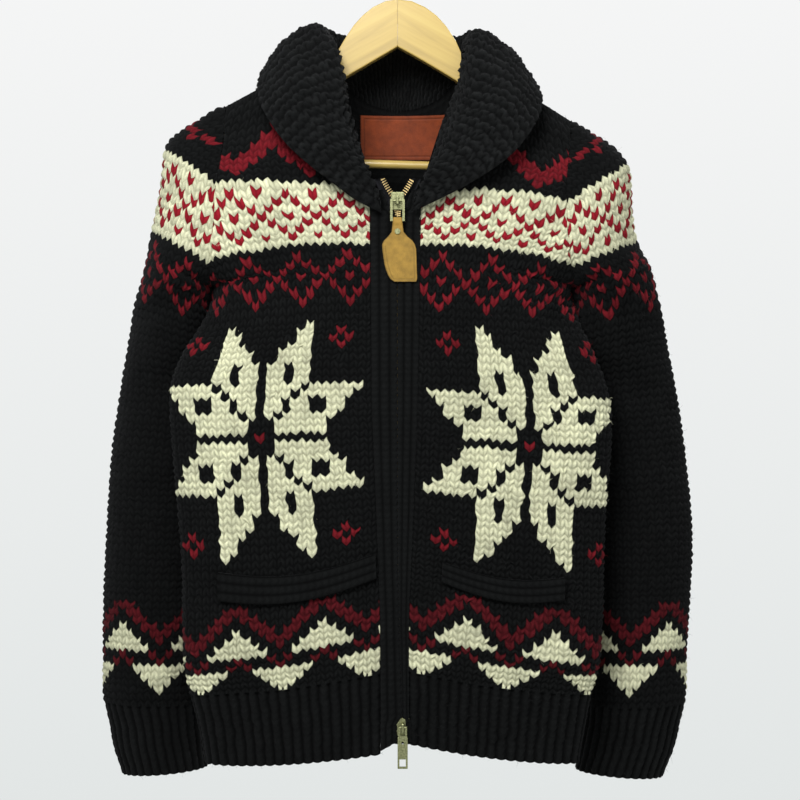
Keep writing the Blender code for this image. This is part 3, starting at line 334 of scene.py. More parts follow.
# %% Panel surface
class Surface:
    """A panel: points for rows and shares of the width, with directions outward."""

    def __init__(self, rows, lines, outward, columns=72, step=0.5, folds=()):
        self.rows = np.arange(rows[0], rows[-1] + step / 2, step)
        self.rows[-1] = rows[-1]
        dense = smooth(rows, lines, self.rows)
        self.points = np.stack([even(line, columns) for line in dense])
        self.columns = columns
        self.normals = self.turn_out(outward)
        if folds:
            self.points = self.points + self.normals * self.folded(folds)[..., None]
            self.normals = self.turn_out(outward)
        gaps = np.linalg.norm(np.diff(self.points, axis=1), axis=2)
        self.widths = gaps.sum(axis=1)

    def turn_out(self, outward):
        down = np.gradient(self.points, axis=0)
        across = np.gradient(self.points, axis=1)
        normals = unit(np.cross(down, across))
        if callable(outward):
            facing = np.sum(normals * outward(self.points), axis=-1)
        else:
            facing = np.sum(normals * np.array(outward, float), axis=-1)
        return normals if np.median(facing) > 0 else -normals

    def folded(self, folds):
        """Height of the soft folds at every point, in millimetres."""
        share = np.linspace(0, 1, self.columns + 1)[None, :]
        row = self.rows[:, None]
        total = np.zeros((len(self.rows), self.columns + 1))
        for fold in folds:
            x, z = share * 200.0, row * 7.0
            ax, az = fold.share_a * 200.0, fold.row_a * 7.0
            bx, bz = fold.share_b * 200.0, fold.row_b * 7.0
            length = math.hypot(bx - ax, bz - az)
            along = ((x - ax) * (bx - ax) + (z - az) * (bz - az)) / length**2
            aside = ((x - ax) * (bz - az) - (z - az) * (bx - ax)) / length
            ends = np.clip(1.0 - np.abs(along - 0.5) * 2.0 + 0.25, 0, 1)
            ends = ends * ends * (3 - 2 * ends)
            total += fold.height * np.exp(-((aside / fold.width) ** 2)) * ends
        return total

    def at(self, row, share):
        """Points and outward directions, by straight reading between the samples."""
        r = np.clip(np.interp(row, self.rows, np.arange(len(self.rows))), 0,
                    len(self.rows) - 1.0001)
        c = np.clip(share, 0, 1) * self.columns * 0.99999
        i, j = r.astype(int), c.astype(int)
        a, b = (r - i)[..., None], (c - j)[..., None]

        def read(grid):
            low = grid[i, j] * (1 - b) + grid[i, j + 1] * b
            high = grid[i + 1, j] * (1 - b) + grid[i + 1, j + 1] * b
            return low * (1 - a) + high * a

        return read(self.points), unit(read(self.normals))

    def width(self, row):
        return np.interp(row, self.rows, self.widths)


print("measured lines in a front:", len(ROWS_LEFT))

# %% [markdown]
# ### Folds
# Thick knitting creases softly. Each fold here is one shallow ridge, or a hollow when its
# height is negative, between two places on a panel. The deepest run from the armpits,
# where a hanging sleeve pulls the cloth.

# %% Folds
Fold = namedtuple("Fold", "row_a share_a row_b share_b width height")
FOLDS_LEFT = [
    Fold(69, 1.00, 58, 0.62, 13, -4.0),
    Fold(72, 0.97, 67, 0.55, 12, 2.6),
    Fold(64, 0.98, 48, 0.80, 14, 3.0),
    Fold(50, 0.90, 14, 0.82, 15, -2.4),
    Fold(26, 0.42, 2, 0.46, 20, 2.0),
    Fold(22, 0.72, 0, 0.70, 15, -2.4),
    Fold(88, 0.55, 76, 0.90, 14, 1.8),
]
FOLDS_RIGHT = [
    Fold(70, 1.00, 60, 0.58, 13, -4.0),
    Fold(73, 0.97, 69, 0.60, 12, 2.4),
    Fold(66, 0.98, 46, 0.78, 14, 2.6),
    Fold(44, 0.86, 12, 0.88, 16, -2.6),
    Fold(28, 0.35, 3, 0.30, 18, 1.8),
    Fold(20, 0.62, 0, 0.66, 15, -2.2),
    Fold(87, 0.50, 77, 0.88, 14, 2.0),
]
FOLDS_BACK = [
    Fold(70, 0.04, 58, 0.22, 14, -4.0),
    Fold(70, 0.96, 57, 0.80, 14, -4.0),
    Fold(64, 0.30, 20, 0.38, 20, 2.6),
    Fold(60, 0.70, 24, 0.62, 20, 2.4),
    Fold(24, 0.20, 0, 0.22, 18, -2.4),
    Fold(22, 0.80, 0, 0.78, 18, -2.4),
]
FOLDS_SLEEVE = [
    Fold(69, 0.10, 61, 0.46, 11, -3.6),
    Fold(64, 0.04, 56, 0.40, 11, 2.6),
    Fold(58, 0.08, 50, 0.44, 12, -2.8),
    Fold(46, 0.10, 40, 0.42, 12, 2.2),
    Fold(24, 0.06, 15, 0.40, 14, 1.6),
    Fold(69, 0.90, 60, 0.58, 12, -3.4),
    Fold(55, 0.94, 46, 0.60, 12, 2.4),
    Fold(16, 0.12, 9, 0.38, 10, 1.8),
]


print("folds on a front:", len(FOLDS_LEFT))

# %% [markdown]
# ### Lines across a front
# Seen from above, half of the body is a quarter of a rounded oblong. Below the armpit a
# line follows it from the front band to the side seam; above, it runs to the armhole.

# %% Front lines
SEAM_LEFT = [(-790, -16.0), (-650, -16.5), (-560, -20.0), (-450, -25.0), (-250, -26.5)]
SEAM_RIGHT = [(-790, 10.0), (-650, 10.5), (-560, 15.0), (-450, 19.5), (-250, 22.5)]


def seam_x(side, z):
    """Where the front band is sewn to a front, at height z."""
    heights, places = zip(*(SEAM_LEFT if side < 0 else SEAM_RIGHT))
    return float(np.interp(z, heights, places))


def front_line(level, end=None):
    if level.z_in < -236:
        level = level._replace(x_in=seam_x(level.x_in, level.z_in))
    share = np.linspace(0.0, 1.0, 60)
    if end is None:
        power = 2.0 / ROUNDNESS
        start = math.asin((level.x_in / level.x_out) ** (1.0 / power))
        angle = start + (math.pi / 2 - start) * share
        x = level.x_out * np.sin(angle) ** power
        y = level.y_out + (level.y_in - level.y_out) * np.abs(np.cos(angle)) ** power
        z_out = level.z_out
    else:
        x = level.x_in + (end.x - level.x_in) * share
        y_end = end.y_mid - end.y_half
        y = level.y_in + (y_end - level.y_in) * share ** ROUNDNESS
        z_out = end.z
    line = even(np.stack([x, y, np.zeros_like(x)], axis=1), 59)
    drop = level.sag * 4.0 * share * (1.0 - share)
    line[:, 2] = level.z_in + (z_out - level.z_in) * share - drop
    return line


def front_surface(levels, yoke, armhole, rows, folds):
    lines = [front_line(level) for level in levels]
    lines += [front_line(level, end) for level, end in zip(yoke, armhole[1:])]
    return Surface(rows, np.stack([even(line, 72) for line in lines]), (0, -1, 0),
                   folds=folds)


print("band seam at the chest:", round(seam_x(-1, -400.0), 1), round(seam_x(1, -400.0), 1))

# %% [markdown]
# ### Lines across the back
# The back is one panel. A line starts at one side seam, turns round the side of the body,
# crosses behind the neck and mirrors itself to the other seam.

# %% Back surface
def back_side_line(level, back, side, count=24):
    power = 2.0 / ROUNDNESS
    angle = np.linspace(math.pi / 2, math.pi, 400)
    c = np.abs(np.cos(angle)) ** power
    x = abs(level.x_out) * np.sin(angle) ** power * (1.0 - level.tuck * c)
    y = level.y_out + (back.y_centre - level.y_out) * c
    kept = x >= NECK_HALF
    plan = np.stack([side * x[kept], y[kept], np.zeros(kept.sum())], axis=1)
    plan[-1, 0] = side * NECK_HALF
    line = even(plan, count)
    share = np.linspace(0.0, 1.0, count + 1)
    line[:, 2] = level.z_out + (back.z_neck - level.z_out) * share
    return line


def back_yoke_line(end, yoke, z_neck, side, count=24):
    share = np.linspace(0.0, 1.0, 60)
    y_start = end.y_mid + end.y_half
    x = end.x + (side * NECK_HALF - end.x) * share
    y = y_start + (yoke.y_neck - y_start) * (1.0 - (1.0 - share) ** ROUNDNESS)
    z = end.z + (z_neck - end.z) * share
    return even(np.stack([x, y, z], axis=1), count)


def neck_line(left, right, y_centre, z_centre, count=24):
    angle = np.linspace(0.0, math.pi, count + 1)
    share = (1.0 - np.cos(angle)) / 2.0
    base = left + (right - left) * share[:, None]
    rise = np.sin(angle)[:, None] * (np.array([0.0, y_centre, z_centre]) - (left + right) / 2)
    rise[:, 0] = 0.0
    return base + rise


def back_surface():
    lines = []
    for left, right, back in zip(LEVELS_LEFT, LEVELS_RIGHT, BACK_LEVELS):
        one = back_side_line(left, back, -1.0)
        two = back_side_line(right, back, 1.0)
        middle = neck_line(one[-1], two[-1], back.y_centre, back.z_centre)
        lines.append(np.concatenate([one, middle[1:-1], two[::-1]]))
    for end_l, end_r, yoke in zip(ARMHOLE_LEFT[1:], ARMHOLE_RIGHT[1:], BACK_YOKE):
        one = back_yoke_line(end_l, yoke, yoke.z_neck_left, -1.0)
        two = back_yoke_line(end_r, yoke, yoke.z_neck_right, 1.0)
        middle = neck_line(one[-1], two[-1], yoke.y_centre, yoke.z_centre)
        lines.append(np.concatenate([one, middle[1:-1], two[::-1]]))
    return Surface(ROWS_LEFT, np.stack(lines), (0, 1, 0), columns=96, folds=FOLDS_BACK)


print("neck width:", 2 * NECK_HALF, "mm")

# %% [markdown]
# ### Rings of a sleeve
# A sleeve's grid is cut open along its underarm, where the real seam runs. The rings of
# the cap close in on the armhole until the last one is only the shoulder point.

# %% Sleeve surface
def sleeve_ring(outer, inner, y_mid, half_depth, turn, count=64):
    share = np.linspace(0.0, 1.0, 80)
    around = 1.0 - np.cos(share * math.acos(1.0 - turn))
    depth = half_depth * np.sqrt(np.maximum(0.0, 1.0 - (1.0 - around) ** 2))
    chord = np.outer(around / turn, np.array(inner) - np.array(outer)) + np.array(outer)
    back = np.stack([chord[:, 0], y_mid + depth, chord[:, 1]], axis=1)
    front = np.stack([chord[:, 0], y_mid - depth, chord[:, 1]], axis=1)
    return even(np.concatenate([front[::-1], back[1:]]), count)


def sleeve_surface(armhole, cap, rings, folds):
    top = armhole[-1]
    lines = [np.tile([top.x, top.y_mid, top.z], (65, 1)).astype(float)]
    lines[0][:, 1] += np.linspace(-0.5, 0.5, 65)
    for station, ring in zip(armhole[-2:0:-1], cap[::-1]):
        reach = math.sqrt(max(0.0, 1.0 - (1.0 - ring.turn) ** 2))
        lines.append(sleeve_ring((ring.x_out, ring.z_out), (station.x, station.z),
                                 station.y_mid, station.y_half / reach, ring.turn))
    for ring in rings:
        lines.append(sleeve_ring((ring.x_out, ring.z_out), (ring.x_in, ring.z_in),
                                 ring.y_mid, ring.half_depth, 2.0))
    side = np.sign(armhole[0].x)

    def outward(points):
        return points - points.mean(axis=1, keepdims=True) + np.array([side, 0, 0])

    return Surface(ROWS_SLEEVE[::-1], np.stack(lines[::-1]), outward, columns=64,
                   folds=folds)


surfaces = {
    "left": front_surface(LEVELS_LEFT, YOKE_LEFT, ARMHOLE_LEFT, ROWS_LEFT, FOLDS_LEFT),
    "right": front_surface(LEVELS_RIGHT, YOKE_RIGHT, ARMHOLE_RIGHT, ROWS_RIGHT, FOLDS_RIGHT),
    "back": back_surface(),
    "sleeve_left": sleeve_surface(ARMHOLE_LEFT, CAP_LEFT, SLEEVE_LEFT, FOLDS_SLEEVE),
    "sleeve_right": sleeve_surface(ARMHOLE_RIGHT, CAP_RIGHT, SLEEVE_RIGHT, FOLDS_SLEEVE),
}
for key, surface in surfaces.items():
    print(key, "width at row 40:", round(float(surface.width(40.0))), "mm")

# %% [markdown]
# ## The colour charts
# Colourwork is knitted from a chart, one square for each stitch. These rules say which
# yarn each stitch takes. The two darker reds are the red yarn again, painted darker down
# the body: painted shade. The shoulder zigzag takes the lighter of the two darker reds too.
# Bands of triangles and zigzags sit above the ribs, a lattice crosses the chest, and a
# stepped eight-pointed star fills each panel.

# %% Charts
CHARCOAL, CREAM, RED, DARKER_RED, DARKEST_RED = range(5)
HANGING, DOTS, STANDING, ZIGZAG_TOP = 11, 15, 17, 23   # the border's rows, from its foot
STAR_ROW = 46                                          # the middle row of the stars
# Below these rows the red yarn is painted darker, as painted shade.
DARKEST_RED_END, DARKER_RED_END = 26, 72                          # rows where the red yarn changes
CREAM_ROWS = (73, 81)
LATTICE = {65: [0], 66: [1], 67: [2], 68: [0, 3], 69: [2], 70: [1], 71: [0],
           74: [0, 3], 75: [1], 76: [2], 77: [0, 3], 78: [2], 79: [1], 80: [0, 3]}


def from_peak(c, peak, repeat=10):
    """Distance in stitches from the nearest peak of a zigzag."""
    return np.abs((c - peak + repeat / 2) % repeat - repeat / 2)


def star(dx, dy):
    """A stepped eight-pointed star, 23 stitches wide and 33 rows tall."""
    x, y = np.abs(dx), np.round(np.abs(dy) / 1.45)
    tall = (x >= 1) & (x <= 5) & (y >= x + 1) & (y <= x + 6)
    wide = (y >= 1) & (y <= 5) & (x >= y + 1) & (x <= y + 6)
    vein = ((x == 3) & (y >= 6) & (y <= 7)) | ((y == 3) & (x >= 6) & (x <= 7))
    return (tall | wide) & ~vein


def chart(c, r, peak, lattice, stars, yoke=(2, 87, 7, 1.5)):
    """Yarn numbers for arrays of stitches c and rows r.

    peak, lattice and stars are the middle stitches of the border, the chest lattice and
    the stars. yoke gives the shoulder zigzag: peak, top row, repeat and rows a stitch.
    """
    yarn = np.zeros(np.broadcast(c, r).shape, int)
    d = from_peak(c, peak)
    for row in range(HANGING, HANGING + 4):
        yarn[(r == row) & (d >= 5 - (row - HANGING))] = CREAM
    yarn[(r == DOTS + 1) & ((d == 0) | (d == 4))] = RED
    yarn[(r == DOTS) & ((d == 1) | (d == 5))] = RED
    for row in range(STANDING, STANDING + 4):
        yarn[(r == row) & (d <= STANDING + 3 - row)] = CREAM
    yarn[(r == ZIGZAG_TOP - d) | ((r == ZIGZAG_TOP - d + 1) & (d >= 1))] = RED
    summit, top, repeat, rise = yoke
    drop = np.floor(from_peak(c, summit, repeat) * rise).astype(int)
    yarn[(r >= top - drop) & (r <= top - drop + 1 + (rise > 1))] = DARKER_RED
    for middle in stars:
        dx, dy = c - middle, r - STAR_ROW
        yarn[star(dx, dy)] = CREAM
        yarn[(np.abs(dx) + np.round(np.abs(dy) / 1.45)) == 0] = RED
        corner = np.abs(np.abs(dx) - 9) + np.abs(np.abs(dy) - 14)
        yarn[(corner <= 1) & (corner >= 1)] = RED
    yarn[(r >= CREAM_ROWS[0]) & (r <= CREAM_ROWS[1])] = CREAM
    # Painted shade: red knitted below these rows is painted darker, then darker again.
    yarn[(r < DARKER_RED_END) & (yarn == RED)] = DARKER_RED
    yarn[(r < DARKEST_RED_END) & (yarn == DARKER_RED)] = DARKEST_RED
    aside = from_peak(c, lattice, 6)
    for row, spots in LATTICE.items():
        yarn[(r == row) & np.isin(aside, spots)] = RED if row > DARKER_RED_END else DARKER_RED
    return yarn


# The last two colours are the red yarn painted darker: painted shade.
YARN_COLOURS = np.array([[0.0052, 0.0056, 0.0056], [0.675, 0.675, 0.46], [0.265, 0.010, 0.019],
                         [0.150, 0.009, 0.014], [0.082, 0.007, 0.010]])
print("cream stitches in a star:", int(star(*np.meshgrid(np.arange(-12, 13),
                                                         np.arange(-17, 18))).sum()))

# %% [markdown]
# ## From surface to stitches
# A knit stitch shows as a V of two fat legs of yarn. Every leg slants up from the middle
# of its column, and the legs stack one on another. So a panel can be one grid whose rows
# run in a zigzag: each grid cell lies along a leg, and its height above the cloth follows
# the round of the yarn. One grid for a whole panel is quick to build and has no seams.

# %% Grid tools
def make_mesh(name, points, faces, smooth_faces=True):
    """An object from points in millimetres; equal points become one, bad faces go."""
    points = np.asarray(points, float)
    rounded = np.round(points, 3)
    _, first, ids = np.unique(rounded, axis=0, return_index=True, return_inverse=True)
    ids = ids.reshape(-1)
    kept, source = [], []
    for number, face in enumerate(faces):
        loop = [int(ids[v]) for v in face]
        loop = [v for i, v in enumerate(loop) if v != loop[i - 1]]
        if len(loop) >= 3 and len(set(loop)) == len(loop):
            kept.append(loop)
            source.append(number)
    mesh = bpy.data.meshes.new(name)
    mesh.from_pydata((points[first] * MM).tolist(), [], kept)
    if smooth_faces:
        mesh.polygons.foreach_set("use_smooth", np.ones(len(kept), bool))
    obj = bpy.data.objects.new(name, mesh)
    bpy.context.scene.collection.objects.link(obj)
    return obj, np.array(source)


def kept_lines(rows, columns, coarse):
    """The rows and columns of a fine grid that its coarse copy keeps."""
    return [np.unique(np.append(np.arange(0, count, step), count - 1))
            for count, step in zip((rows, columns), coarse)]


def quads(rows, columns, start=0, flip=False):
    r, c = np.meshgrid(np.arange(rows - 1), np.arange(columns - 1), indexing="ij")
    a = (r * columns + c).ravel() + start
    faces = np.stack([a, a + 1, a + columns + 1, a + columns], axis=1)
    return faces[:, ::-1] if flip else faces


def shell(name, outer, inner, colours, plain, coarse):
    """A closed thin shell: a fine outer grid, a coarse inner grid and rims between.

    coarse gives the fine steps in one inner step, by row and by column. colours holds a
    colour for each face of the outer grid; the inner grid and the rims are plain.
    """
    rows, columns = outer.shape[:2]
    pick_r, pick_c = kept_lines(rows, columns, coarse)
    base, width = rows * columns, len(pick_c)
    out_faces = quads(rows, columns)
    faces = out_faces.tolist() + quads(len(pick_r), width, base, flip=True).tolist()

    def rim(fine, near, flip):
        loop = [int(v) for v in fine] + [int(near[1]), int(near[0])]
        faces.append(loop[::-1] if flip else loop)

    for side, row, flip in ((0, 0, False), (len(pick_r) - 1, rows - 1, True)):
        for i in range(width - 1):
            fine = row * columns + np.arange(pick_c[i], pick_c[i + 1] + 1)
            near = (base + side * width + i, base + side * width + i + 1)
            rim(fine, near, flip)
    for side, column, flip in ((0, 0, True), (width - 1, columns - 1, False)):
        for i in range(len(pick_r) - 1):
            fine = np.arange(pick_r[i], pick_r[i + 1] + 1) * columns + column
            near = (base + i * width + side, base + (i + 1) * width + side)
            rim(fine, near, flip)
    back = inner[np.ix_(pick_r, pick_c)]
    points = np.concatenate([outer.reshape(-1, 3), back.reshape(-1, 3)])
    obj, source = make_mesh(name, points, faces)
    mesh = obj.data
    counts = np.zeros(len(mesh.polygons), int)
    mesh.polygons.foreach_get("loop_total", counts)
    outside = source < len(out_faces)
    table = np.tile(np.append(plain, 1.0), (len(source), 1))
    table[outside, :3] = colours.reshape(-1, 3)[source[outside]]
    attribute = mesh.color_attributes.new("yarn_colour", "FLOAT_COLOR", "CORNER")
    attribute.data.foreach_set("color", np.repeat(table, counts, axis=0).ravel())
    return obj


print("lines kept of nine, in threes:", kept_lines(9, 9, (3, 3))[0])

# %% [markdown]
# ### Laying the grid flat
# A UV map says where each face of a mesh lies on a flat picture. The first map here is for
# baking and keeps the two faces of the cloth side by side. The second follows the yarn, so
# that a noise of fibres can run along it. The same step paints shade into the colour: it
# darkens the grooves between the strands, where little light gets in, and the inner face
# of knitted pieces; on ribs, ridges and cords it also paints the crests lighter, as painted
# light. On dyed yarn a painted groove shows less.

# %% Maps
INNER_SHADE, DYED_SHADE = 0.7, 0.72


def add_uv(obj, name, values):
    """A UV map from one pair of numbers for each corner of a face."""
    layer = obj.data.uv_layers.new(name=name)
    layer.data.foreach_set("uv", values.astype(np.float32).ravel())


def corner_points(obj):
    mesh = obj.data
    points = np.zeros(len(mesh.vertices) * 3)
    mesh.vertices.foreach_get("co", points)
    index = np.zeros(len(mesh.loops), int)
    mesh.loops.foreach_get("vertex_index", index)
    return points.reshape(-1, 3)[index] / MM, index


def darken(obj, dim):
    """Multiply the yarn's colour by dim at each corner, and less so where it is dyed: painted
    shade, and painted light where dim is above one.
    """
    layer = obj.data.color_attributes["yarn_colour"].data
    colours = np.zeros(len(dim) * 4)
    layer.foreach_get("color", colours)
    colours = colours.reshape(-1, 4)
    dyed = colours[:, :3].max(axis=1) > 0.05
    dim[dyed] = 1.0 - DYED_SHADE * (1.0 - dim[dyed])
    colours[:, :3] *= dim[:, None]
    layer.foreach_set("color", colours.ravel())


def lay_uv(obj, outer, inner, source, limits, coarse):
    """Two UV maps, OFBake and yarn_run, and the shade of the grooves if source has it."""
    r0, r1, first, last = limits
    grid = np.ix_(*kept_lines(*outer.shape[:2], coarse))
    every = np.concatenate([outer.reshape(-1, 3), inner[grid].reshape(-1, 3)])
    _, place = np.unique(np.round(every, 3), axis=0, return_index=True)
    _, index = corner_points(obj)
    corner = place[index]
    under = corner >= outer[..., 0].size

    def at_corners(key):
        values = source[key]
        return np.concatenate([values.reshape(-1), values[grid].reshape(-1)])[corner]

    if "groove" in source:
        darken(obj, np.where(under, INNER_SHADE, at_corners("groove")))
    s, t, slant = (at_corners(key) for key in ("s", "t", "slant"))
    u = (s - first) / (last - first) * 0.49 + under * 0.5
    v = (t - r0) / (r1 - r0) * 0.98
    add_uv(obj, "OFBake", np.stack([u + 0.005, v + 0.01], axis=1))
    add_uv(obj, "yarn_run", np.stack([s * 2.0, t - slant], axis=1))


def edge(table):
    rows, values = zip(*table)
    return lambda t: np.interp(t, rows, values)


def dress(obj, body, slot, *nodes):
    """Hang a piece on a body, name its finish and hide the CAD nodes it stands for."""
    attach(obj, body)
    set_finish(obj, slot)
    if nodes:
        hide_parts(*nodes)
    return obj


print("inner faces keep", INNER_SHADE, "of their light")

# %% [markdown]
# ## The knitting itself
# `knit` lays out the zigzag grid. `across` and `along` say how many mesh steps go to half
# a stitch and to one row: the fronts get more than the hidden back. It makes two
# textures. *Plain* is the V stitch. *Rib* sinks every other column, which makes the
# elastic cords of a hem. Small random shifts keep the stitches from looking like print.

# %% Knit
LEG_ACROSS = {3: [0.10, 0.86, 1.00, 0.34], 2: [0.10, 1.00, 0.34]}
LEG_ALONG = {4: [0.0, 0.80, 1.0, 0.80], 3: [0.0, 0.95, 0.95]}
SLANT = 0.58


def lattice_noise(s, t, size):
    """Smooth unevenness: random numbers at whole stitches, blended between them."""
    values = rng.normal(0, size, (int(np.ptp(t)) + 4, int(np.ptp(s)) + 4))
    a, b = t - math.floor(t.min()), s - math.floor(s.min())
    i, j = a.astype(int), b.astype(int)
    u, v = a - i, b - j
    u, v = u * u * (3 - 2 * u), v * v * (3 - 2 * v)
    return (values[i, j] * (1 - u) * (1 - v) + values[i, j + 1] * (1 - u) * v
            + values[i + 1, j] * u * (1 - v) + values[i + 1, j + 1] * u * v)


def knit(name, surface, r0, r1, c_low, c_high, colour, across=3, along=4, relief=2.5,
         rib=0.0, clear=0.85, skin=4.0, ragged=0.0, uneven=0.11):
    """A knitted shell between rows r0 and r1; c_low and c_high give the edge stitches.

    relief is how far a leg of yarn stands up and rib how far a cord does. clear sinks the
    whole face, skin is the depth of the inner face, and ragged lets the cast-on edge sag.
    """
    first = math.floor(min(c_low(np.linspace(r0, r1, 60))))
    last = math.ceil(max(c_high(np.linspace(r0, r1, 60))))
    half = np.arange((last - first) * 2 * across + 1) / (2 * across)
    s = first + half
    j = np.arange(math.floor((r0 - 2) * along), math.ceil((r1 + 2) * along) + 1)
    from_middle = np.abs(half % 1.0 - 0.5) * 2.0
    t = j[:, None] / along + SLANT * (from_middle[None, :] - 0.5)
    wide = np.broadcast_to(s[None, :], t.shape)
    ease = np.clip(np.minimum(t - r0, r1 - t) / 2.0, 0, 1)
    pulled = wide + lattice_noise(wide, t, uneven) * ease
    t = t + lattice_noise(wide, t, uneven * 1.1) * ease
    inside = (t > r0) & (t < r1)
    t = np.clip(t, r0, r1)
    low, high = c_low(t), c_high(t)
    share = (pulled - low) / (high - low)
    inside &= (share > 0) & (share < 1)
    points, normals = surface.at(t, np.clip(share, 0, 1))
    shape = LEG_ACROSS[across]
    tent = np.array(shape + shape[-2::-1])[:-1]
    profile = np.tile(np.roll(tent, -across), last - first)
    profile = np.append(profile, profile[0])
    round_yarn = np.tile(LEG_ALONG[along], len(j) // along + 2)[j[0] % along:][:len(j)]
    height = round_yarn[:, None] * profile[None, :]
    stitch = np.floor(s + 1e-6).astype(int)
    wobble = rng.normal(0, 0.10, (len(j) // along + 3, last - first + 1))
    height = height * (1 + wobble[(j - j[0])[:, None] // along, (stitch - first)[None, :]])
    lift = relief * height - clear
    if rib:
        wave = np.sin(s * math.pi) ** 2
        lift = lift * (0.4 + 0.6 * wave) + rib * (wave - 0.55)
    lift = np.where(inside, lift, -0.3)
    outer = points + normals * lift[..., None]
    if ragged:
        fall = np.exp(-((t - r0) / 1.2) ** 2) * ragged * (0.4 + 0.6 * np.abs(
            np.sin(s * math.pi)))[None, :]
        outer[..., 2] -= fall
        points = points.copy()
        points[..., 2] -= fall
    purl = (np.arange(len(j)) // along)[:, None] + (np.arange(len(s)) // (2 * across))[None]
    inner = points - normals * (skin + 0.8 * (purl % 2)[..., None] * inside[..., None])
    r = np.broadcast_to((j[:-1] // along)[:, None], (len(j) - 1, len(s) - 1))
    c = np.broadcast_to(stitch[None, :-1], r.shape)
    tone = 1 + rng.normal(0, 0.07, (200, 200))[r % 200, c % 200]
    obj = shell(name, outer, inner, YARN_COLOURS[colour(c, r)] * tone[..., None],
                YARN_COLOURS[CHARCOAL], (along, 2 * across))
    # groove is painted shade: the colour is darkened where the yarn lies low.
    uv_source = {"s": wide, "t": t, "slant": SLANT * (from_middle[None, :] - 0.5) + 0 * t,
                 "groove": 0.40 + 0.60 * np.clip(height, 0, 1) ** 0.8}
    if rib:
        # On a rib the painted shade darkens the sunk columns, and painted light lifts the raised
        # cords above the yarn's colour.
        uv_source["groove"] = 0.22 + 1.15 * np.clip(wave * (0.6 + 0.4 * height), 0, 1)
    lay_uv(obj, outer, inner, uv_source, (r0, r1, first, last), (along, 2 * across))
    return obj


print("mesh steps to a stitch:", {across: 2 * across for across in LEG_ACROSS})

# %% [markdown]
# ## The two fronts
# Both fronts are charted from the front band outward, so their patterns meet the zip as
# mirror images. Towards the shoulder the armhole takes stitches away at one side and the
# slope of the neck at the other; the two edge tables say where the panel ends at each row.

# %% Fronts
IN_FRONT = edge([(0, 0), (68, 0), (76, -0.4), (82, -0.8), (86, 0), (90, 1.5), (92.6, 2.9),
                 (94, 3.6)])


def edge_by_width(surface, full, start=66.0, top_pitch=9.2, inner=None):
    """Stitches left at each row: the width there over a slowly growing stitch width."""
    pitch = surface.width(start) / full
    table = [(0, full), (start, full)]
    for row in np.arange(start + 0.5, surface.rows[-1] + 0.1, 0.5):
        wide = pitch + (top_pitch - pitch) * min(1.0, (row - start) / 18.0)
        left = surface.width(row) / wide + (float(inner(row)) if inner else 0.0)
        table.append((row, min(full, left)))
    return edge(table)


OUT_LEFT = edge_by_width(surfaces["left"], 24.0, inner=IN_FRONT)
OUT_RIGHT = edge_by_width(surfaces["right"], 23.0, inner=IN_FRONT)
print("stitches at row 72:", round(float(OUT_LEFT(72)), 1), round(float(OUT_RIGHT(72)), 1))


def front_chart(summit):
    def read(c, r):
        yarn = chart(c, r, peak=6, lattice=2, stars=[12], yoke=(summit, 87, 8, 1.2))
        yarn[(r >= 82) & (c <= 3)] = CHARCOAL
        return yarn
    return read


def ribs_of(c_edge, share=0.82):
    """A rib cord is wider than a stitch, so a rib counts fewer columns."""
    return lambda t: c_edge(t) * share


def plain_chart(c, r):
    return np.zeros(r.shape, int)


RIB = {"along": 3, "rib": 3.0, "relief": 1.6, "ragged": 2.0, "uneven": 0.05}
made = {}
for side, c_out, summit in (("left", OUT_LEFT, 9), ("right", OUT_RIGHT, 7)):
    body = knit(f"front_{side}_knit", surfaces[side], *BODY_ROWS, IN_FRONT, c_out,
                front_chart(summit))
    made[f"front_{side}"] = dress(body, "garment", "charcoal_wool", f"front_{side}")
    rib = knit(f"hem_rib_{side}_knit", surfaces[side], *HEM_ROWS, ribs_of(IN_FRONT),
               ribs_of(c_out), plain_chart, **RIB)
    made[f"hem_rib_{side}"] = dress(rib, "garment", "rib_wool", f"hem_rib_{side}")
    print(side, "front faces:", len(body.data.polygons), "rib:", len(rib.data.polygons))

# %% [markdown]
# ## Back and sleeves
# These are seen less, so their grids are a little coarser. A sleeve is knitted as a tube
# and its cap narrows to the shoulder, so its edge tables close in from both sides.

# %% Back
BACK_COUNT = edge_by_width(surfaces["back"], 48.0)


def back_edge(sign):
    return lambda t: BACK_COUNT(t) * sign / 2


def back_chart(c, r):
    return chart(c, r, peak=0, lattice=0, stars=[-13, 12])


back = knit("back_knit", surfaces["back"], *BODY_ROWS, back_edge(-1), back_edge(1),
            back_chart, across=2)
made["back"] = dress(back, "garment", "charcoal_wool", "back")
rib = knit("hem_rib_back_knit", surfaces["back"], *HEM_ROWS, ribs_of(back_edge(-1)),
           ribs_of(back_edge(1)), plain_chart, across=2, **RIB)
made["hem_rib_back"] = dress(rib, "garment", "rib_wool", "hem_rib_back")
print("back faces:", len(back.data.polygons))

# %% [markdown]
# The sleeves take the same chart without the stars. A cuff is the rib of the hem again,
# drawn in a little more, so its cords stand closer.

# %% Sleeves
def sleeve_edge(surface, sign):
    count = edge_by_width(surface, 36.0, start=69.8, top_pitch=8.6)
    return lambda t: count(t) * sign / 2


def sleeve_chart(c, r):
    return chart(c, r, peak=4, lattice=1, stars=[], yoke=(0, 86.6, 8, 0.5))


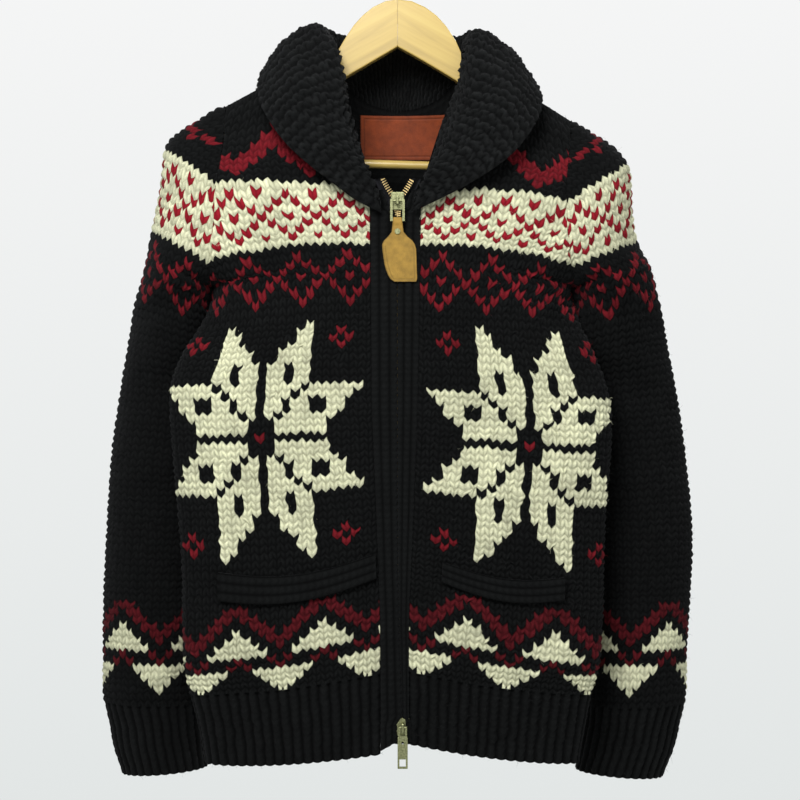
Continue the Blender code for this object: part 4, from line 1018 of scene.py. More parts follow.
for side in ("left", "right"):
    surface = surfaces[f"sleeve_{side}"]
    low, high = sleeve_edge(surface, -1), sleeve_edge(surface, 1)
    tube = knit(f"sleeve_{side}_knit", surface, *SLEEVE_ROWS, low, high, sleeve_chart,
                across=2)
    made[f"sleeve_{side}"] = dress(tube, "garment", "charcoal_wool", f"sleeve_{side}")
    cuff = knit(f"cuff_{side}_knit", surface, *CUFF_ROWS, ribs_of(low, 0.78),
                ribs_of(high, 0.78), plain_chart, **(RIB | {"rib": 2.8, "ragged": 1.5}))
    made[f"cuff_{side}"] = dress(cuff, "garment", "rib_wool", f"cuff_{side}")
    print(side, "sleeve faces:", len(tube.data.polygons))

# %% [markdown]
# ## Collar
# The shawl collar starts at the neck edge, stands up, rolls over and falls. It is a long
# strip, so it is measured at stations along its length, each one a line from the neck
# edge over the roll to the outer edge.

# %% Collar's shape
# Collar stations from the left front end, round the back neck, to the right front end.
# foot is sewn to the neck edge, roll is the fold line, fall is the outer edge.
Collar = namedtuple("Collar", "foot roll fall puff")
COLLAR = [
    Collar((-19, -62, -256), (-16, -70, -252), (-15, -69, -265), 0),
    Collar((-25, -60, -240), (-21, -70, -236), (-38, -71, -254), 2),
    Collar((-31, -56, -220), (-28, -69, -219), (-60, -72, -238), 4),
    Collar((-36, -49, -196), (-36, -64, -200), (-84, -72, -219), 6),
    Collar((-45, -38, -164), (-42, -56, -172), (-107, -66, -197), 8),
    Collar((-54, -24, -132), (-47, -43, -138), (-128, -50, -166), 10),
    Collar((-62, -10, -103), (-57, -24, -103), (-137, -24, -141), 11),
    Collar((-64, 6, -93), (-75, 0, -76), (-134, 10, -123), 12),
    Collar((-60, 23, -108), (-70, 24, -74), (-128, 38, -136), 12),
    Collar((-45, 35, -130), (-53, 40, -78), (-96, 58, -176), 10),
    Collar((-22, 40.8, -146.1), (-27, 47, -80), (-50, 66, -202), 9),
    Collar((0, 41.8, -149.6), (0, 48, -81), (0, 69, -208), 9),
    Collar((22, 40.8, -146.1), (27, 47, -81), (50, 66, -204), 9),
    Collar((45, 35, -132), (53, 40, -80), (98, 58, -180), 10),
    Collar((60, 23, -112), (70, 24, -78), (130, 38, -144), 12),
    Collar((64, 6, -97), (73, 0, -82), (137, 10, -135), 12),
    Collar((65, -10, -107), (66, -24, -109), (141, -24, -151), 11),
    Collar((57, -24, -136), (58, -43, -147), (134, -50, -174), 10),
    Collar((46, -38, -166), (49, -56, -176), (113, -66, -204), 8),
    Collar((36, -49, -196), (40, -64, -205), (86, -72, -226), 6),
    Collar((31, -56, -220), (28, -69, -224), (60, -72, -242), 4),
    Collar((25, -60, -240), (21, -70, -238), (36, -71, -254), 2),
    Collar((19, -62, -254), (16, -70, -252), (14, -69, -264), 0),
]


def collar_line(station):
    foot, roll, fall = (np.array(p, dtype=float) for p in station[:3])
    eased = math.exp(-((roll[2] + 172.0) / 45.0) ** 2) if roll[1] < -15 else 0.0
    roll[0] += 6.5 * eased * np.sign(roll[0])
    foot[2] -= 7.0 * np.clip((foot[1] - 22.0) / 14.0, 0, 1)
    out = unit(np.array([roll[0], roll[1], 0.0]) + np.array([fall[0], fall[1], 0.0]))
    crest = unit(out + np.array([0.0, 0.0, 1.2]))
    stand = (foot + roll) / 2.0 - out * station.puff * 0.15
    middle = (roll + fall) / 2.0 + crest * station.puff
    knots = np.stack([foot, stand, roll, middle, fall])
    along = np.concatenate([[0.0], np.cumsum(np.linalg.norm(np.diff(knots, axis=0), axis=1))])
    return even(smooth(along, knots, np.linspace(0.0, along[-1], 120)), 60)


class Strip(Surface):
    """A surface whose rows are simply spaced along its length in millimetres."""

    def __init__(self, lines, outward, columns, step=3.0):
        middle = lines[:, lines.shape[1] * 3 // 4]
        gaps = np.linalg.norm(np.diff(middle, axis=0), axis=1)
        self.length = float(gaps.sum())
        knots = np.concatenate([[0.0], np.cumsum(gaps)])
        count = int(self.length / step)
        self.rows = np.linspace(0, self.length, count)
        self.columns = columns
        dense = smooth(knots, lines, self.rows)
        self.points = np.stack([even(line, columns) for line in dense])
        self.normals = self.turn_out(outward)
        self.widths = np.linalg.norm(np.diff(self.points, axis=1), axis=2).sum(axis=1)


print("collar stations:", len(COLLAR))

# %% [markdown]
# ### Garter stitch
# Garter stitch is bumpy on both faces: thick soft ridges, each a chain of short loops. The
# loops of one ridge sit between the loops of the next. `garter` raises them on a grid, and
# no two loops get quite the same height or shade.

# %% Collar
RIDGE, PITCH, SKEW = 10.5, 8.7, 0.24   # width of a ridge, length of a loop, ridges' slant


def garter(name, surface, height, skin, columns=116, per_ridge=6):
    """A closed shell of garter stitch: ridges running from its foot to its edge."""
    count = round(surface.length / RIDGE)
    u = np.arange(count * per_ridge + 1) / per_ridge
    uu, vv = np.meshgrid(u, np.linspace(0, 1, columns), indexing="ij")
    along = uu / count * surface.length
    points, normals = surface.at(along, vv)
    from_edge = (1 - vv) * surface.width(along)
    side = np.tanh((along - surface.length / 2) / 70.0)
    ridge = uu + side * SKEW * from_edge / RIDGE
    stitch = from_edge / PITCH
    ridge = ridge + lattice_noise(stitch, uu, 0.13)
    stitch = stitch + lattice_noise(stitch, uu, 0.20)
    crest = np.abs(np.sin(ridge * math.pi)) ** 0.75
    half = np.floor(ridge * 2).astype(int)
    loop = np.abs(np.sin((stitch + half * 0.5) * math.pi)) ** 0.8
    tall = rng.normal(1.0, 0.17, (400, 60)).clip(0.5, 1.5)
    mine = half % 400, np.floor(stitch + half * 0.5).astype(int) % 60
    bump = (0.12 + 0.88 * crest) * (0.22 + 0.78 * loop) * tall[mine]
    rim = np.minimum(vv * surface.width(along), from_edge)
    rim = np.minimum(rim, np.minimum(uu, count - uu) * RIDGE)
    sink = np.clip(1 - rim / 4.0, 0, 1) ** 2 * skin * 0.4
    outer = points + normals * (height * (bump - 0.55) - sink)[..., None]
    inner = points - normals * (skin - sink + 0.8 * bump)[..., None]
    tone = rng.normal(1.0, 0.10, (400, 60))
    # Painted light: the collar's charcoal is painted 1.35 times brighter than the body's, for its
    # faces turned up to the light.
    face = YARN_COLOURS[CHARCOAL] * 1.35 * tone[mine][:-1, :-1, None]
    obj = shell(name, outer, inner, face, YARN_COLOURS[CHARCOAL], (2, 3))
    # groove is painted shade between the ridges and loops, and painted light on their tops.
    source = {"s": vv * 12.0, "t": uu, "slant": 0 * uu,
              "groove": 0.12 + 0.90 * np.clip(bump, 0, 1.2)}
    lay_uv(obj, outer, inner, source, (0, count, 0, 12), (2, 3))
    return obj


def collar_out(points):
    """From the neck's axis outward, so the fall faces away and up."""
    return points - np.array([0.0, 0.0, -240.0])


collar_surface = Strip(np.stack([collar_line(station) for station in COLLAR]), collar_out, 60)
middle = collar_surface.normals[len(collar_surface.rows) // 2, -6]
if middle[1] < 0:
    collar_surface.normals = -collar_surface.normals
collar = garter("collar_knit", collar_surface, 4.2, 5.0)
made["collar"] = dress(collar, "garment", "collar_wool", "collar")
print("collar:", round(collar_surface.length), "x", round(float(collar_surface.widths.max())),
      "mm, faces:", len(collar.data.polygons))

# %% [markdown]
# ## Front bands and pocket welts
# A front band is a narrow strip of close ribbing folded over the zip's tape. `ribbed`
# raises a few cords that run its whole length, with a small beat at every row.

# %% Front bands
# Front bands: the height of a section and how far the zip's centre leans to the right.
Band = namedtuple("Band", "z lean")
BANDS = [Band(-766, 5.0), Band(-742, 4.8), Band(-729, 4.4), Band(-724, 4.2), Band(-660, 2.0),
         Band(-600, 0.6), Band(-520, 0.0), Band(-270, 0.0)]


RIB_STEPS = 4          # mesh steps to one cord and to one row


def front_depth(z, levels, yoke):
    rows = list(levels) + list(yoke)
    return float(np.interp(z, [row.z_in for row in rows], [row.y_in for row in rows]))


def band_lines(side):
    levels, yoke = (LEVELS_LEFT, YOKE_LEFT) if side == "left" else (LEVELS_RIGHT, YOKE_RIGHT)
    sign = -1.0 if side == "left" else 1.0
    lines = []
    heights = np.append(np.linspace(BANDS[0].z, -272.0, 84), np.linspace(-268.0, -242.0, 13))
    for z in heights:
        lean = np.interp(z, [b.z for b in BANDS], [b.lean for b in BANDS])
        gap = np.interp(z, [-766, -745, -742, -264, -260.5, -250, -242],
                        [5.6, 5.4, 0.06, 0.06, 8.6, 10.5, 14.0])
        zip_x, seam = lean + sign * gap, seam_x(sign, z)
        fall = 9.0 * np.exp(-(z - BANDS[0].z) / 22.0) if side == "left" else 0.0
        y = front_depth(z, levels, yoke)
        quarter = (zip_x - seam) / 4.0
        ring = [(seam + sign * 0.4, y + 0.6), (seam + quarter * 0.4, y - 1.2),
                (seam + quarter, y - 2.0), (seam + 2 * quarter, y - 2.4),
                (seam + 3 * quarter, y - 2.0), (zip_x + sign * 0.6, y - 0.6),
                (zip_x, y + 1.6)]
        low = [z - fall * abs(zip_x - px) / abs(zip_x - seam) for px, _ in ring]
        lines.append(even(np.array([(*p, h) for p, h in zip(ring, low)]), 24))
    return np.stack(lines)


def ribbed(name, surface, ribs, tall, height, skin, clear):
    """A strip with cords running its whole length; tall is the height of a row."""
    count = round(surface.length / tall)
    u = np.arange(count * RIB_STEPS + 1) / RIB_STEPS
    v = np.arange(ribs * RIB_STEPS + 1) / RIB_STEPS
    uu, vv = np.meshgrid(u, v, indexing="ij")
    points, normals = surface.at(uu / count * surface.length, vv / ribs)
    crest = np.abs(np.sin(vv * math.pi)) ** 0.7
    beat = 0.45 + 0.55 * np.abs(np.sin((uu + 0.45 * np.abs(np.sin(vv * math.pi))) * math.pi))
    lift = height * crest * beat - clear
    outer = points + normals * lift[..., None]
    inner = points - normals * skin
    face = YARN_COLOURS[CHARCOAL] * (1 + rng.normal(0, 0.06, (len(u) - 1, len(v) - 1, 1)))
    obj = shell(name, outer, inner, face, YARN_COLOURS[CHARCOAL], (2, 2))
    # groove is painted shade between the cords, and painted light on their crests.
    source = {"s": vv, "t": uu, "slant": 0 * uu, "groove": 0.30 + 0.90 * crest * beat}
    lay_uv(obj, outer, inner, source, (0, count, 0, ribs), (2, 2))
    return obj


strip_size = {}
for side in ("left", "right"):
    surface = Strip(band_lines(side), (0, -1, 0), 24)
    band = ribbed(f"front_band_{side}_knit", surface, 3, 6.4, 2.0, 2.4, clear=0.6)
    made[f"front_band_{side}"] = dress(band, "garment", "rib_wool", f"front_band_{side}")
    strip_size[f"front_band_{side}"] = (surface.length, float(surface.widths.max()))
    print("band", side, [round(v) for v in strip_size[f"front_band_{side}"]], "mm")

# %% [markdown]
# ### Pocket welts
# A welt is a short band that closes the mouth of a pocket. It lies on the front and sags a
# little at its middle, so its lines are read from the front's own surface and lifted.

# %% Pocket welts
# Pocket welts, in level lines up the front and in shares of its width.
Welt = namedtuple("Welt", "u_in u_out top_ends top_middle drop")
WELT_LEFT = Welt(0.01, 0.76, 4.78, 4.60, 0.52)
WELT_RIGHT = Welt(0.15, 0.74, 4.80, 4.62, 0.52)
for side, welt, rows in (("left", WELT_LEFT, ROWS_LEFT), ("right", WELT_RIGHT, ROWS_RIGHT)):
    lines = []
    for share in np.linspace(0, 1, 40):
        u = welt.u_in + (welt.u_out - welt.u_in) * share
        sag = (welt.top_ends - welt.top_middle) * math.sin(math.pi * share)
        level = welt.top_ends - sag - welt.drop * np.linspace(0, 1, 9)
        row = np.interp(level, np.arange(len(rows)), rows)
        points, ways = surfaces[side].at(row, np.full(9, u))
        lines.append(points + ways * (0.7 + CLOTH + 0.2))
    surface = Strip(np.stack(lines), (0, -1, 0), 10)
    piece = ribbed(f"pocket_welt_{side}_knit", surface, 3, 7.0, 2.4, 4.6, clear=0.5)
    made[f"pocket_welt_{side}"] = dress(piece, "garment", "rib_wool", f"pocket_welt_{side}")
    strip_size[f"pocket_welt_{side}"] = (surface.length, float(surface.widths.max()))
    print("welt", side, [round(v) for v in strip_size[f"pocket_welt_{side}"]], "mm")

# %% [markdown]
# ## Zip
# Each half of the zip is a woven tape with metal teeth clamped along one edge. The tape
# is a thin flat shell here. It runs from the bottom slider to the neck, where the two
# halves lean apart.

# %% Zip tapes
# Zip: the lean of its centre, the meeting edge of each half, the width of its tape and
# the depth of the front faces of the chain and of the tape.
Zip = namedtuple("Zip", "z lean edge tape y_chain y_tape")
ZIP = [
    Zip(-754.3, 4.9, 0.15, 8.3, -60.0, -54.8),
    Zip(-743, 4.8, 0.15, 8.3, -60.0, -55.2),
    Zip(-734, 4.6, 0.15, 8.3, -58.0, -56.4),
    Zip(-724, 4.2, 0.15, 8.3, -57.0, -57.0),
    Zip(-660, 2.0, 0.15, 8.3, -60.4, -60.4),
    Zip(-600, 0.6, 0.15, 8.3, -60.8, -60.8),
    Zip(-520, 0.0, 0.15, 8.3, -60.0, -60.0),
    Zip(-440, 0.0, 0.15, 8.3, -58.6, -58.6),
    Zip(-360, 0.0, 0.15, 8.3, -56.6, -56.6),
    Zip(-297, 0.0, 0.15, 8.3, -54.0, -54.0),
    Zip(-276, 0.0, 0.15, 8.3, -57.0, -51.8),
    Zip(-266, 0.0, 0.15, 7.0, -58.5, -51.5),
    Zip(-255, 0.0, 0.15, 6.0, -58.5, -51.2),
    Zip(-247, 0.0, 3.3, 5.0, -58.5, -51.0),
    Zip(-240, 0.0, 8.0, 4.0, -58.8, -51.4),
    Zip(-231, 0.0, 13.2, 3.0, -59.0, -52.0),
]
# Zip sliders: the centre of the plate, and which way its chain opens (+1 up, -1 down).
TOP_SLIDER = (0.0, -58.5, -253.0)
BOTTOM_SLIDER = (4.9, -60.0, -752.0)
TAPE_BLACK = np.array([0.02, 0.02, 0.023])


def zip_at(z, field):
    return np.interp(z, [row.z for row in ZIP], [getattr(row, field) for row in ZIP])


for side, sign in (("left", -1.0), ("right", 1.0)):
    heights = np.linspace(ZIP[0].z, ZIP[-1].z, 180)
    front = np.zeros((len(heights), 9, 3))
    for i, z in enumerate(heights):
        rim_x = zip_at(z, "edge") + 1.2
        end_x = zip_at(z, "edge") + 6.2 + zip_at(z, "tape")
        x = np.linspace(rim_x, end_x, 9)
        fade = np.clip((x - rim_x - 2.0) / 4.0, 0, 1)
        y_in, y_out = zip_at(z, "y_chain") + 0.9, zip_at(z, "y_tape") + 1.3
        front[i, :, 0] = zip_at(z, "lean") + sign * x
        front[i, :, 1] = y_in + (y_out - y_in) * fade
        front[i, :, 2] = z
    behind = front + np.array([0.0, 1.0, 0.0])
    face = np.broadcast_to(TAPE_BLACK, (len(heights) - 1, 8, 3))
    tape = shell(f"zip_tape_{side}", front, behind, face, TAPE_BLACK, (1, 1))
    points, _ = corner_points(tape)
    flat = np.stack([points[:, 0] * sign / 60 + 0.25, (points[:, 2] + 760) / 560], axis=1)
    add_uv(tape, "OFBake", flat)
    add_uv(tape, "yarn_run", np.stack([points[:, 0] / 1.2, points[:, 2] / 1.2], axis=1))
    made[f"tape_{side}"] = dress(tape, "garment", "zip_tape", f"zip_half_{side}")
    print("tape", side, "faces:", len(tape.data.polygons))

# %% [markdown]
# ### Teeth
# Below the top slider the two rows of teeth mesh; above it they stand apart. A tooth is one
# small block, wider at its root, repeated along the tape. The teeth of one side are joined
# in one mesh, and the right side starts half a step higher so that the rows interlock.

# %% Zip teeth
TOOTH_STEP = 2.0
for side, sign in (("left", -1.0), ("right", 1.0)):
    points, faces = [], []
    offset = 0.0 if side == "left" else TOOTH_STEP / 2
    z = ZIP[0].z + 0.6 + offset
    while z < ZIP[-1].z - 0.6:
        edge_x, lean = zip_at(z, "edge"), zip_at(z, "lean")
        y = zip_at(z, "y_chain")
        rise = zip_at(z + 1, "edge") - zip_at(z, "edge")
        tip = max(edge_x - 0.9, 0.05) if z > TOP_SLIDER[2] or z < BOTTOM_SLIDER[2] else -0.9
        for x, half_y, half_z in ((tip, 0.75, 0.42), (edge_x + 1.0, 1.1, 0.55),
                                  (edge_x + 3.0, 1.25, 0.62)):
            for dy, dz in ((-1, -1), (1, -1), (1, 1), (-1, 1)):
                points.append((lean + sign * x, y + 1.3 + dy * half_y,
                               z + dz * half_z - rise * (x - edge_x)))
        base = len(points) - 12
        for ring in range(2):
            for k in range(4):
                a, b = base + ring * 4 + k, base + ring * 4 + (k + 1) % 4
                faces.append([a, b, b + 4, a + 4][::int(-sign)])
        faces.append([base, base + 1, base + 2, base + 3][::int(sign)])
        faces.append([base + 8 + k for k in range(4)][::int(-sign)])
        z += TOOTH_STEP
    teeth, _ = make_mesh(f"zip_teeth_{side}", points, faces, smooth_faces=False)
    made[f"teeth_{side}"] = dress(teeth, "garment", "aged_metal")
    print("zip", side, "teeth:", len(points) // 12)

# %% [markdown]
# ## Leather label and tag
# Leather is cut with a knife and pressed with a hot die, so its edges are square and its
# border line is sunk. Both pieces are bare here apart from that border. A leather piece is
# a fine grid: rounding the rim and sinking the line are small changes of depth. The label
# is sewn inside the back of the neck, so its grid is read from the back's inner face.

# %% Neck label
LABEL_SIZE, LABEL_BORDER = (87.0, 44.0), 3.6
LABEL_TONE = np.array([0.195, 0.034, 0.006])


def leather_label(name, front, way, thick):
    """A closed leather piece; front is its grid of face points, way points out of it."""
    rows, columns = front.shape[:2]
    v, u = np.meshgrid(np.linspace(0, 1, rows), np.linspace(0, 1, columns), indexing="ij")
    near = np.minimum(np.minimum(u, 1 - u) * LABEL_SIZE[0],
                      np.minimum(v, 1 - v) * LABEL_SIZE[1])
    lift = -0.35 * np.clip(1 - near / 0.9, 0, 1) ** 2
    lift = lift - 0.35 * np.exp(-((near - LABEL_BORDER) / 0.45) ** 2)
    outer = front + way * lift[..., None]
    inner = front - way * thick
    # Painted shade: the face is painted darker towards its rounded rim and along the sunk border
    # line.
    rim = np.clip(near[:-1, :-1] / 1.2, 0, 1)
    line = np.exp(-((near[:-1, :-1] - LABEL_BORDER) / 0.6) ** 2)
    face = LABEL_TONE * ((0.62 + 0.38 * rim) * (1 - 0.35 * line))[..., None]
    obj = shell(name, outer, inner, face, LABEL_TONE, (4, 4))
    lay_uv(obj, outer, inner, {"s": u, "t": v, "slant": 0 * u}, (0, 1, 0, 1), (4, 4))
    return obj


def back_point(surface, x, z):
    crossing = []
    for row in surface:
        order = np.argsort(row[:, 0])
        crossing.append((np.interp(x, row[order, 0], row[order, 2]),
                         np.interp(x, row[order, 0], row[order, 1])))
    crossing.sort()
    return np.array([x, np.interp(z, [c[0] for c in crossing], [c[1] for c in crossing]), z])


hidden_face = surfaces["back"].points - surfaces["back"].normals * (CLOTH + 0.9 + 1.7)
frame_face = hidden_face[len(hidden_face) * 2 // 3:]
label_x = np.linspace(-37.0, 50.0, 13)
label_z = np.linspace(-158.0, -202.0, 7)
coarse_label = np.array([[back_point(frame_face, x, z) for x in label_x] for z in label_z])
dense = smooth(label_z[::-1], coarse_label[::-1], np.linspace(-202.0, -158.0, 61))
label_face = np.stack([even(line, 120) for line in dense])
label = leather_label("neck_label_leather", label_face, np.array([0.0, -1.0, 0.0]), 1.5)
dress(label, "garment", "brown_leather", "neck_label")
print("label faces:", len(label.data.polygons))

# %% [markdown]
# ### The pull tag
# A leather tag hangs from the top slider: a narrow neck, round shoulders and one corner
# longer than the other. Its outline is a list of half widths, left and right, read down
# its length. It is thicker at the neck, where the leather is folded over the metal frame.

# %% Pull tag
# The outline: distance down from the frame, half width to the left and to the right.
TAG = [(0.0, 3.9, 3.9), (0.9, 4.3, 4.3), (5.0, 4.6, 4.7), (8.0, 4.8, 5.0), (14.0, 5.6, 5.8),
       (18.5, 9.0, 9.6), (22.0, 12.7, 14.0), (25.6, 14.5, 16.4), (30.0, 14.4, 17.6),
       (37.5, 13.4, 18.0), (44.0, 12.4, 18.1), (50.0, 10.8, 18.3), (55.5, 8.6, 18.6),
       (58.5, 6.6, 18.6), (61.0, 3.0, 17.6)]
TAG_LONG, TAG_GRID, TAG_TOP = 61.0, (100, 41), TOP_SLIDER[2] - 15.9
TAG_BORDER, BORDER_START = 2.6, 27.0
TAG_TONE = np.array([0.29, 0.172, 0.030])
tag_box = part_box("pull_tag")
tag_mid = (tag_box[0].y + tag_box[1].y) / 2 / MM
down = np.linspace(0, TAG_LONG, TAG_GRID[0])
left, right = (np.interp(down, [row[0] for row in TAG], [row[i] for row in TAG])
               for i in (1, 2))
thick = np.interp(down, [0, 0.9, 5, 8, TAG_LONG], [1.3, 2.3, 2.3, 1.5, 1.5])
share = np.linspace(0, 1, TAG_GRID[1])[None, :]
wide, below = (left + right)[:, None], down[:, None] > BORDER_START
tag_face = np.stack([wide * share - left[:, None] + TOP_SLIDER[0],
                     np.broadcast_to((tag_mid - thick)[:, None], TAG_GRID),
                     np.broadcast_to((TAG_TOP - down)[:, None], TAG_GRID)], axis=2)
away = np.minimum(wide * np.minimum(share, 1 - share),
                  np.broadcast_to((TAG_LONG - down)[:, None], TAG_GRID))
lift = -0.35 * np.clip(1 - away / 1.0, 0, 1) ** 2
lift = lift - 0.3 * np.exp(-((away - TAG_BORDER) / 0.45) ** 2) * below
outer = tag_face + np.array([0, -1.0, 0]) * lift[..., None]
inner = tag_face.copy()
inner[..., 1] = (tag_mid + thick)[:, None]
near, below = away[:-1, :-1], below[:-1]
# Painted shade: the face is painted darker towards its rounded rim and along the sunk border
# line.
face = TAG_TONE * (0.60 + 0.40 * np.clip(near / 1.4, 0, 1))[..., None]
face *= (1 - 0.3 * np.exp(-((near - TAG_BORDER) / 0.6) ** 2) * below)[..., None]
tag = shell("pull_tag_leather", outer, inner, face, TAG_TONE, (2, 4))
flat = {"s": np.broadcast_to(share, TAG_GRID), "slant": np.zeros(TAG_GRID),
        "t": np.broadcast_to(down[:, None] / TAG_LONG, TAG_GRID)}
lay_uv(tag, outer, inner, flat, (0, 1, 0, 1), (2, 4))
dress(tag, "top_pull", "tan_leather", "pull_tag")
print("tag faces:", len(tag.data.polygons))

# %% [markdown]
# ## Glue line
# The two arms of the hanger are glued where they meet. A thin dark leaf of glue fills the
# mitre, which the CAD model leaves open by a hair.

# %% Hanger's glue line
GLUE_HALF, GLUE_DEPTH, GLUE_TOP, GLUE_FOOT = 0.22, 6.2, -51.6, -95.5
leaf = []
for x in (-GLUE_HALF, GLUE_HALF):
    leaf += [(x, -GLUE_DEPTH, GLUE_TOP), (x, GLUE_DEPTH, GLUE_TOP),
             (x, GLUE_DEPTH, GLUE_FOOT), (x, -GLUE_DEPTH, GLUE_FOOT)]
sides = [[0, 1, 2, 3], [7, 6, 5, 4], [0, 4, 5, 1], [1, 5, 6, 2], [2, 6, 7, 3], [3, 7, 4, 0]]
glue, _ = make_mesh("hanger_glue_line", leaf, sides, smooth_faces=False)
dress(glue, "garment", "hanger_wood")
print("glue line:", len(glue.data.polygons), "faces")

# %% [markdown]
# ## Loose fibres
# Wool is hairy. Thousands of short curved hairs stand off the yarn, which softens its
# outline against the light. Each hair is a ribbon of two narrow faces, and all the hairs of
# one piece are joined in one mesh.

# %% Fuzz
def fuzz(obj, count, length):
    """Short curved hairs on a piece, count of them, about length millimetres long."""
    mesh = obj.data
    mesh.calc_loop_triangles()
    corner = np.zeros(len(mesh.loop_triangles) * 3, int)
    loops = np.zeros(len(mesh.loop_triangles) * 3, int)
    mesh.loop_triangles.foreach_get("vertices", corner)
    mesh.loop_triangles.foreach_get("loops", loops)
    points = np.zeros(len(mesh.vertices) * 3)
    mesh.vertices.foreach_get("co", points)
    points, corner = points.reshape(-1, 3), corner.reshape(-1, 3)
    colours = np.zeros(len(mesh.loops) * 4)
    mesh.color_attributes["yarn_colour"].data.foreach_get("color", colours)
    colours = colours.reshape(-1, 4)[loops.reshape(-1, 3)[:, 0]]
    a, b, c = (points[corner[:, i]] for i in range(3))
    normal = np.cross(b - a, c - a)
    area = np.linalg.norm(normal, axis=1)
    normal = normal / np.maximum(area, 1e-15)[:, None]
    pick = rng.choice(len(area), count, p=area / area.sum())
    w = rng.dirichlet((1, 1, 1), count)
    root = w[:, :1] * a[pick] + w[:, 1:2] * b[pick] + w[:, 2:] * c[pick]
    out, spin = normal[pick], unit(rng.normal(size=(count, 3)))
    side = unit(np.cross(out, spin))
    reach = length * MM * rng.uniform(0.5, 1.3, (count, 1))
    mid = root + (out * 0.34 + side * 0.42) * reach
    droop = np.array([0.0, 0.0, -0.12])
    tip = mid + (out * 0.05 + side * 0.42 + rng.normal(0, 0.25, (count, 3)) + droop) * reach
    thin = unit(np.cross(out, side)) * 0.08 * MM
    rings = np.stack([root - thin, root + thin, mid + thin, mid - thin, tip], axis=1)
    base = np.arange(count) * 5
    faces = [[i, i + 1, i + 2, i + 3] for i in base] + [[i + 3, i + 2, i + 4] for i in base]
    mesh = bpy.data.meshes.new(obj.name.replace("_knit", "_fibres"))
    mesh.from_pydata(rings.reshape(-1, 3).tolist(), [], faces)
    hair = bpy.data.objects.new(mesh.name, mesh)
    bpy.context.scene.collection.objects.link(hair)
    # Painted light: each hair is painted lighter than the yarn it stands on, and a black hair
    # grey, for the light that thin hairs catch.
    shade = np.minimum(colours[pick] * 1.6 + 0.012, 1.0)
    shade[:, 3] = 1.0
    attribute = mesh.color_attributes.new("yarn_colour", "FLOAT_COLOR", "POINT")
    attribute.data.foreach_set("color", np.repeat(shade, 5, axis=0).ravel())
    dress(hair, "garment", obj["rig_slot"])
    return hair


HAIR = 5.2             # length of a hair
fibres = []
for key, count in (("front_left", 7000), ("front_right", 7000), ("back", 4000),
                   ("sleeve_left", 4800), ("sleeve_right", 4800), ("collar", 4200),
                   ("hem_rib_left", 900), ("hem_rib_right", 900), ("hem_rib_back", 900),
                   ("cuff_left", 800), ("cuff_right", 800)):
    fibres.append(fuzz(made[key], count, HAIR))
print("hairs:", sum(len(hair.data.vertices) // 5 for hair in fibres))

# %% [markdown]
# ## Materials
# All materials are node trees built by the small helper below, so each is a short list of
# nodes and links. Wool takes its colour from the chart, breaks it up with fibre noise that
# runs along the yarn, and adds a soft sheen at grazing angles.

# %% Node helpers
def node_tools(tree):
    """Two helpers for a node tree: add makes a node and link joins two of them."""
    def add(kind, **settings):
        node = tree.nodes.new(kind)
        for key, value in settings.items():
            if key[0].isupper():
                node.inputs[key.replace("_", " ")].default_value = value
            else:
                setattr(node, key, value)
        return node

    def link(a, out, b, into):
        tree.links.new(a.outputs[out], b.inputs[into])

    return add, link


def new_material(name):
    mat = bpy.data.materials.new(name)
    mat.use_nodes = True
    return mat, mat.node_tree.nodes["Principled BSDF"], *node_tools(mat.node_tree)


def ramp(add, stops):
    """A colour ramp; a stop is a place and a colour, or a place and one number for grey."""
    node = add("ShaderNodeValToRGB")
    elements = node.color_ramp.elements
    for place, _ in stops[1:-1]:
        elements.new(place)
    for element, (place, value) in zip(elements, stops):
        element.position = place
        element.color = (*np.broadcast_to(value, 3), 1.0)
    return node


def multiply(add, link, one, two):
    """The product of two colours, each given as a node and the name of its output."""
    node = add("ShaderNodeMix", data_type="RGBA", blend_type="MULTIPLY")
    node.inputs[0].default_value = 1.0
    link(*one, node, 6)
    link(*two, node, 7)
    return node, 2


print("materials so far:", len(bpy.data.materials))

# %% [markdown]
# ### Wool
# Each strand is shaded by a noise stretched along the yarn's own map, and the whole cloth
# by a slow patchy one. The inner face has no modelled stitches, so `purl_side` draws the
# rows of round bumps that the back of knitting shows, as a bump map on that half alone.

# %% Wool
def purl_side(add, link, run):
    """Rows of round bumps on the inner face, whose map lies in the right half."""
    def math_node(operation, a, b=0.0):
        node = add("ShaderNodeMath", operation=operation)
        for socket, value in enumerate((a, b)):
            if isinstance(value, tuple):
                link(*value, node, socket)
            else:
                node.inputs[socket].default_value = value
        return node, "Value"

    apart, flat = add("ShaderNodeSeparateXYZ"), add("ShaderNodeSeparateXYZ")
    link(run, "UV", apart, "Vector")
    link(add("ShaderNodeUVMap", uv_map="OFBake"), "UV", flat, "Vector")
    brick = math_node("MULTIPLY", math_node("FLOOR", (apart, "Y")), 0.5)
    column = math_node("MULTIPLY_ADD", (apart, "X"), 0.5)
    link(*brick, column[0], 2)
    wide = math_node("ABSOLUTE", math_node("SINE", math_node("MULTIPLY", column, math.pi)))
    high = math_node("ABSOLUTE", math_node("SINE", math_node("MULTIPLY", (apart, "Y"),
                                                             math.pi)))
    inside = math_node("GREATER_THAN", (flat, "X"), 0.5)
    return math_node("MULTIPLY", math_node("MULTIPLY", wide, high), inside)[0]


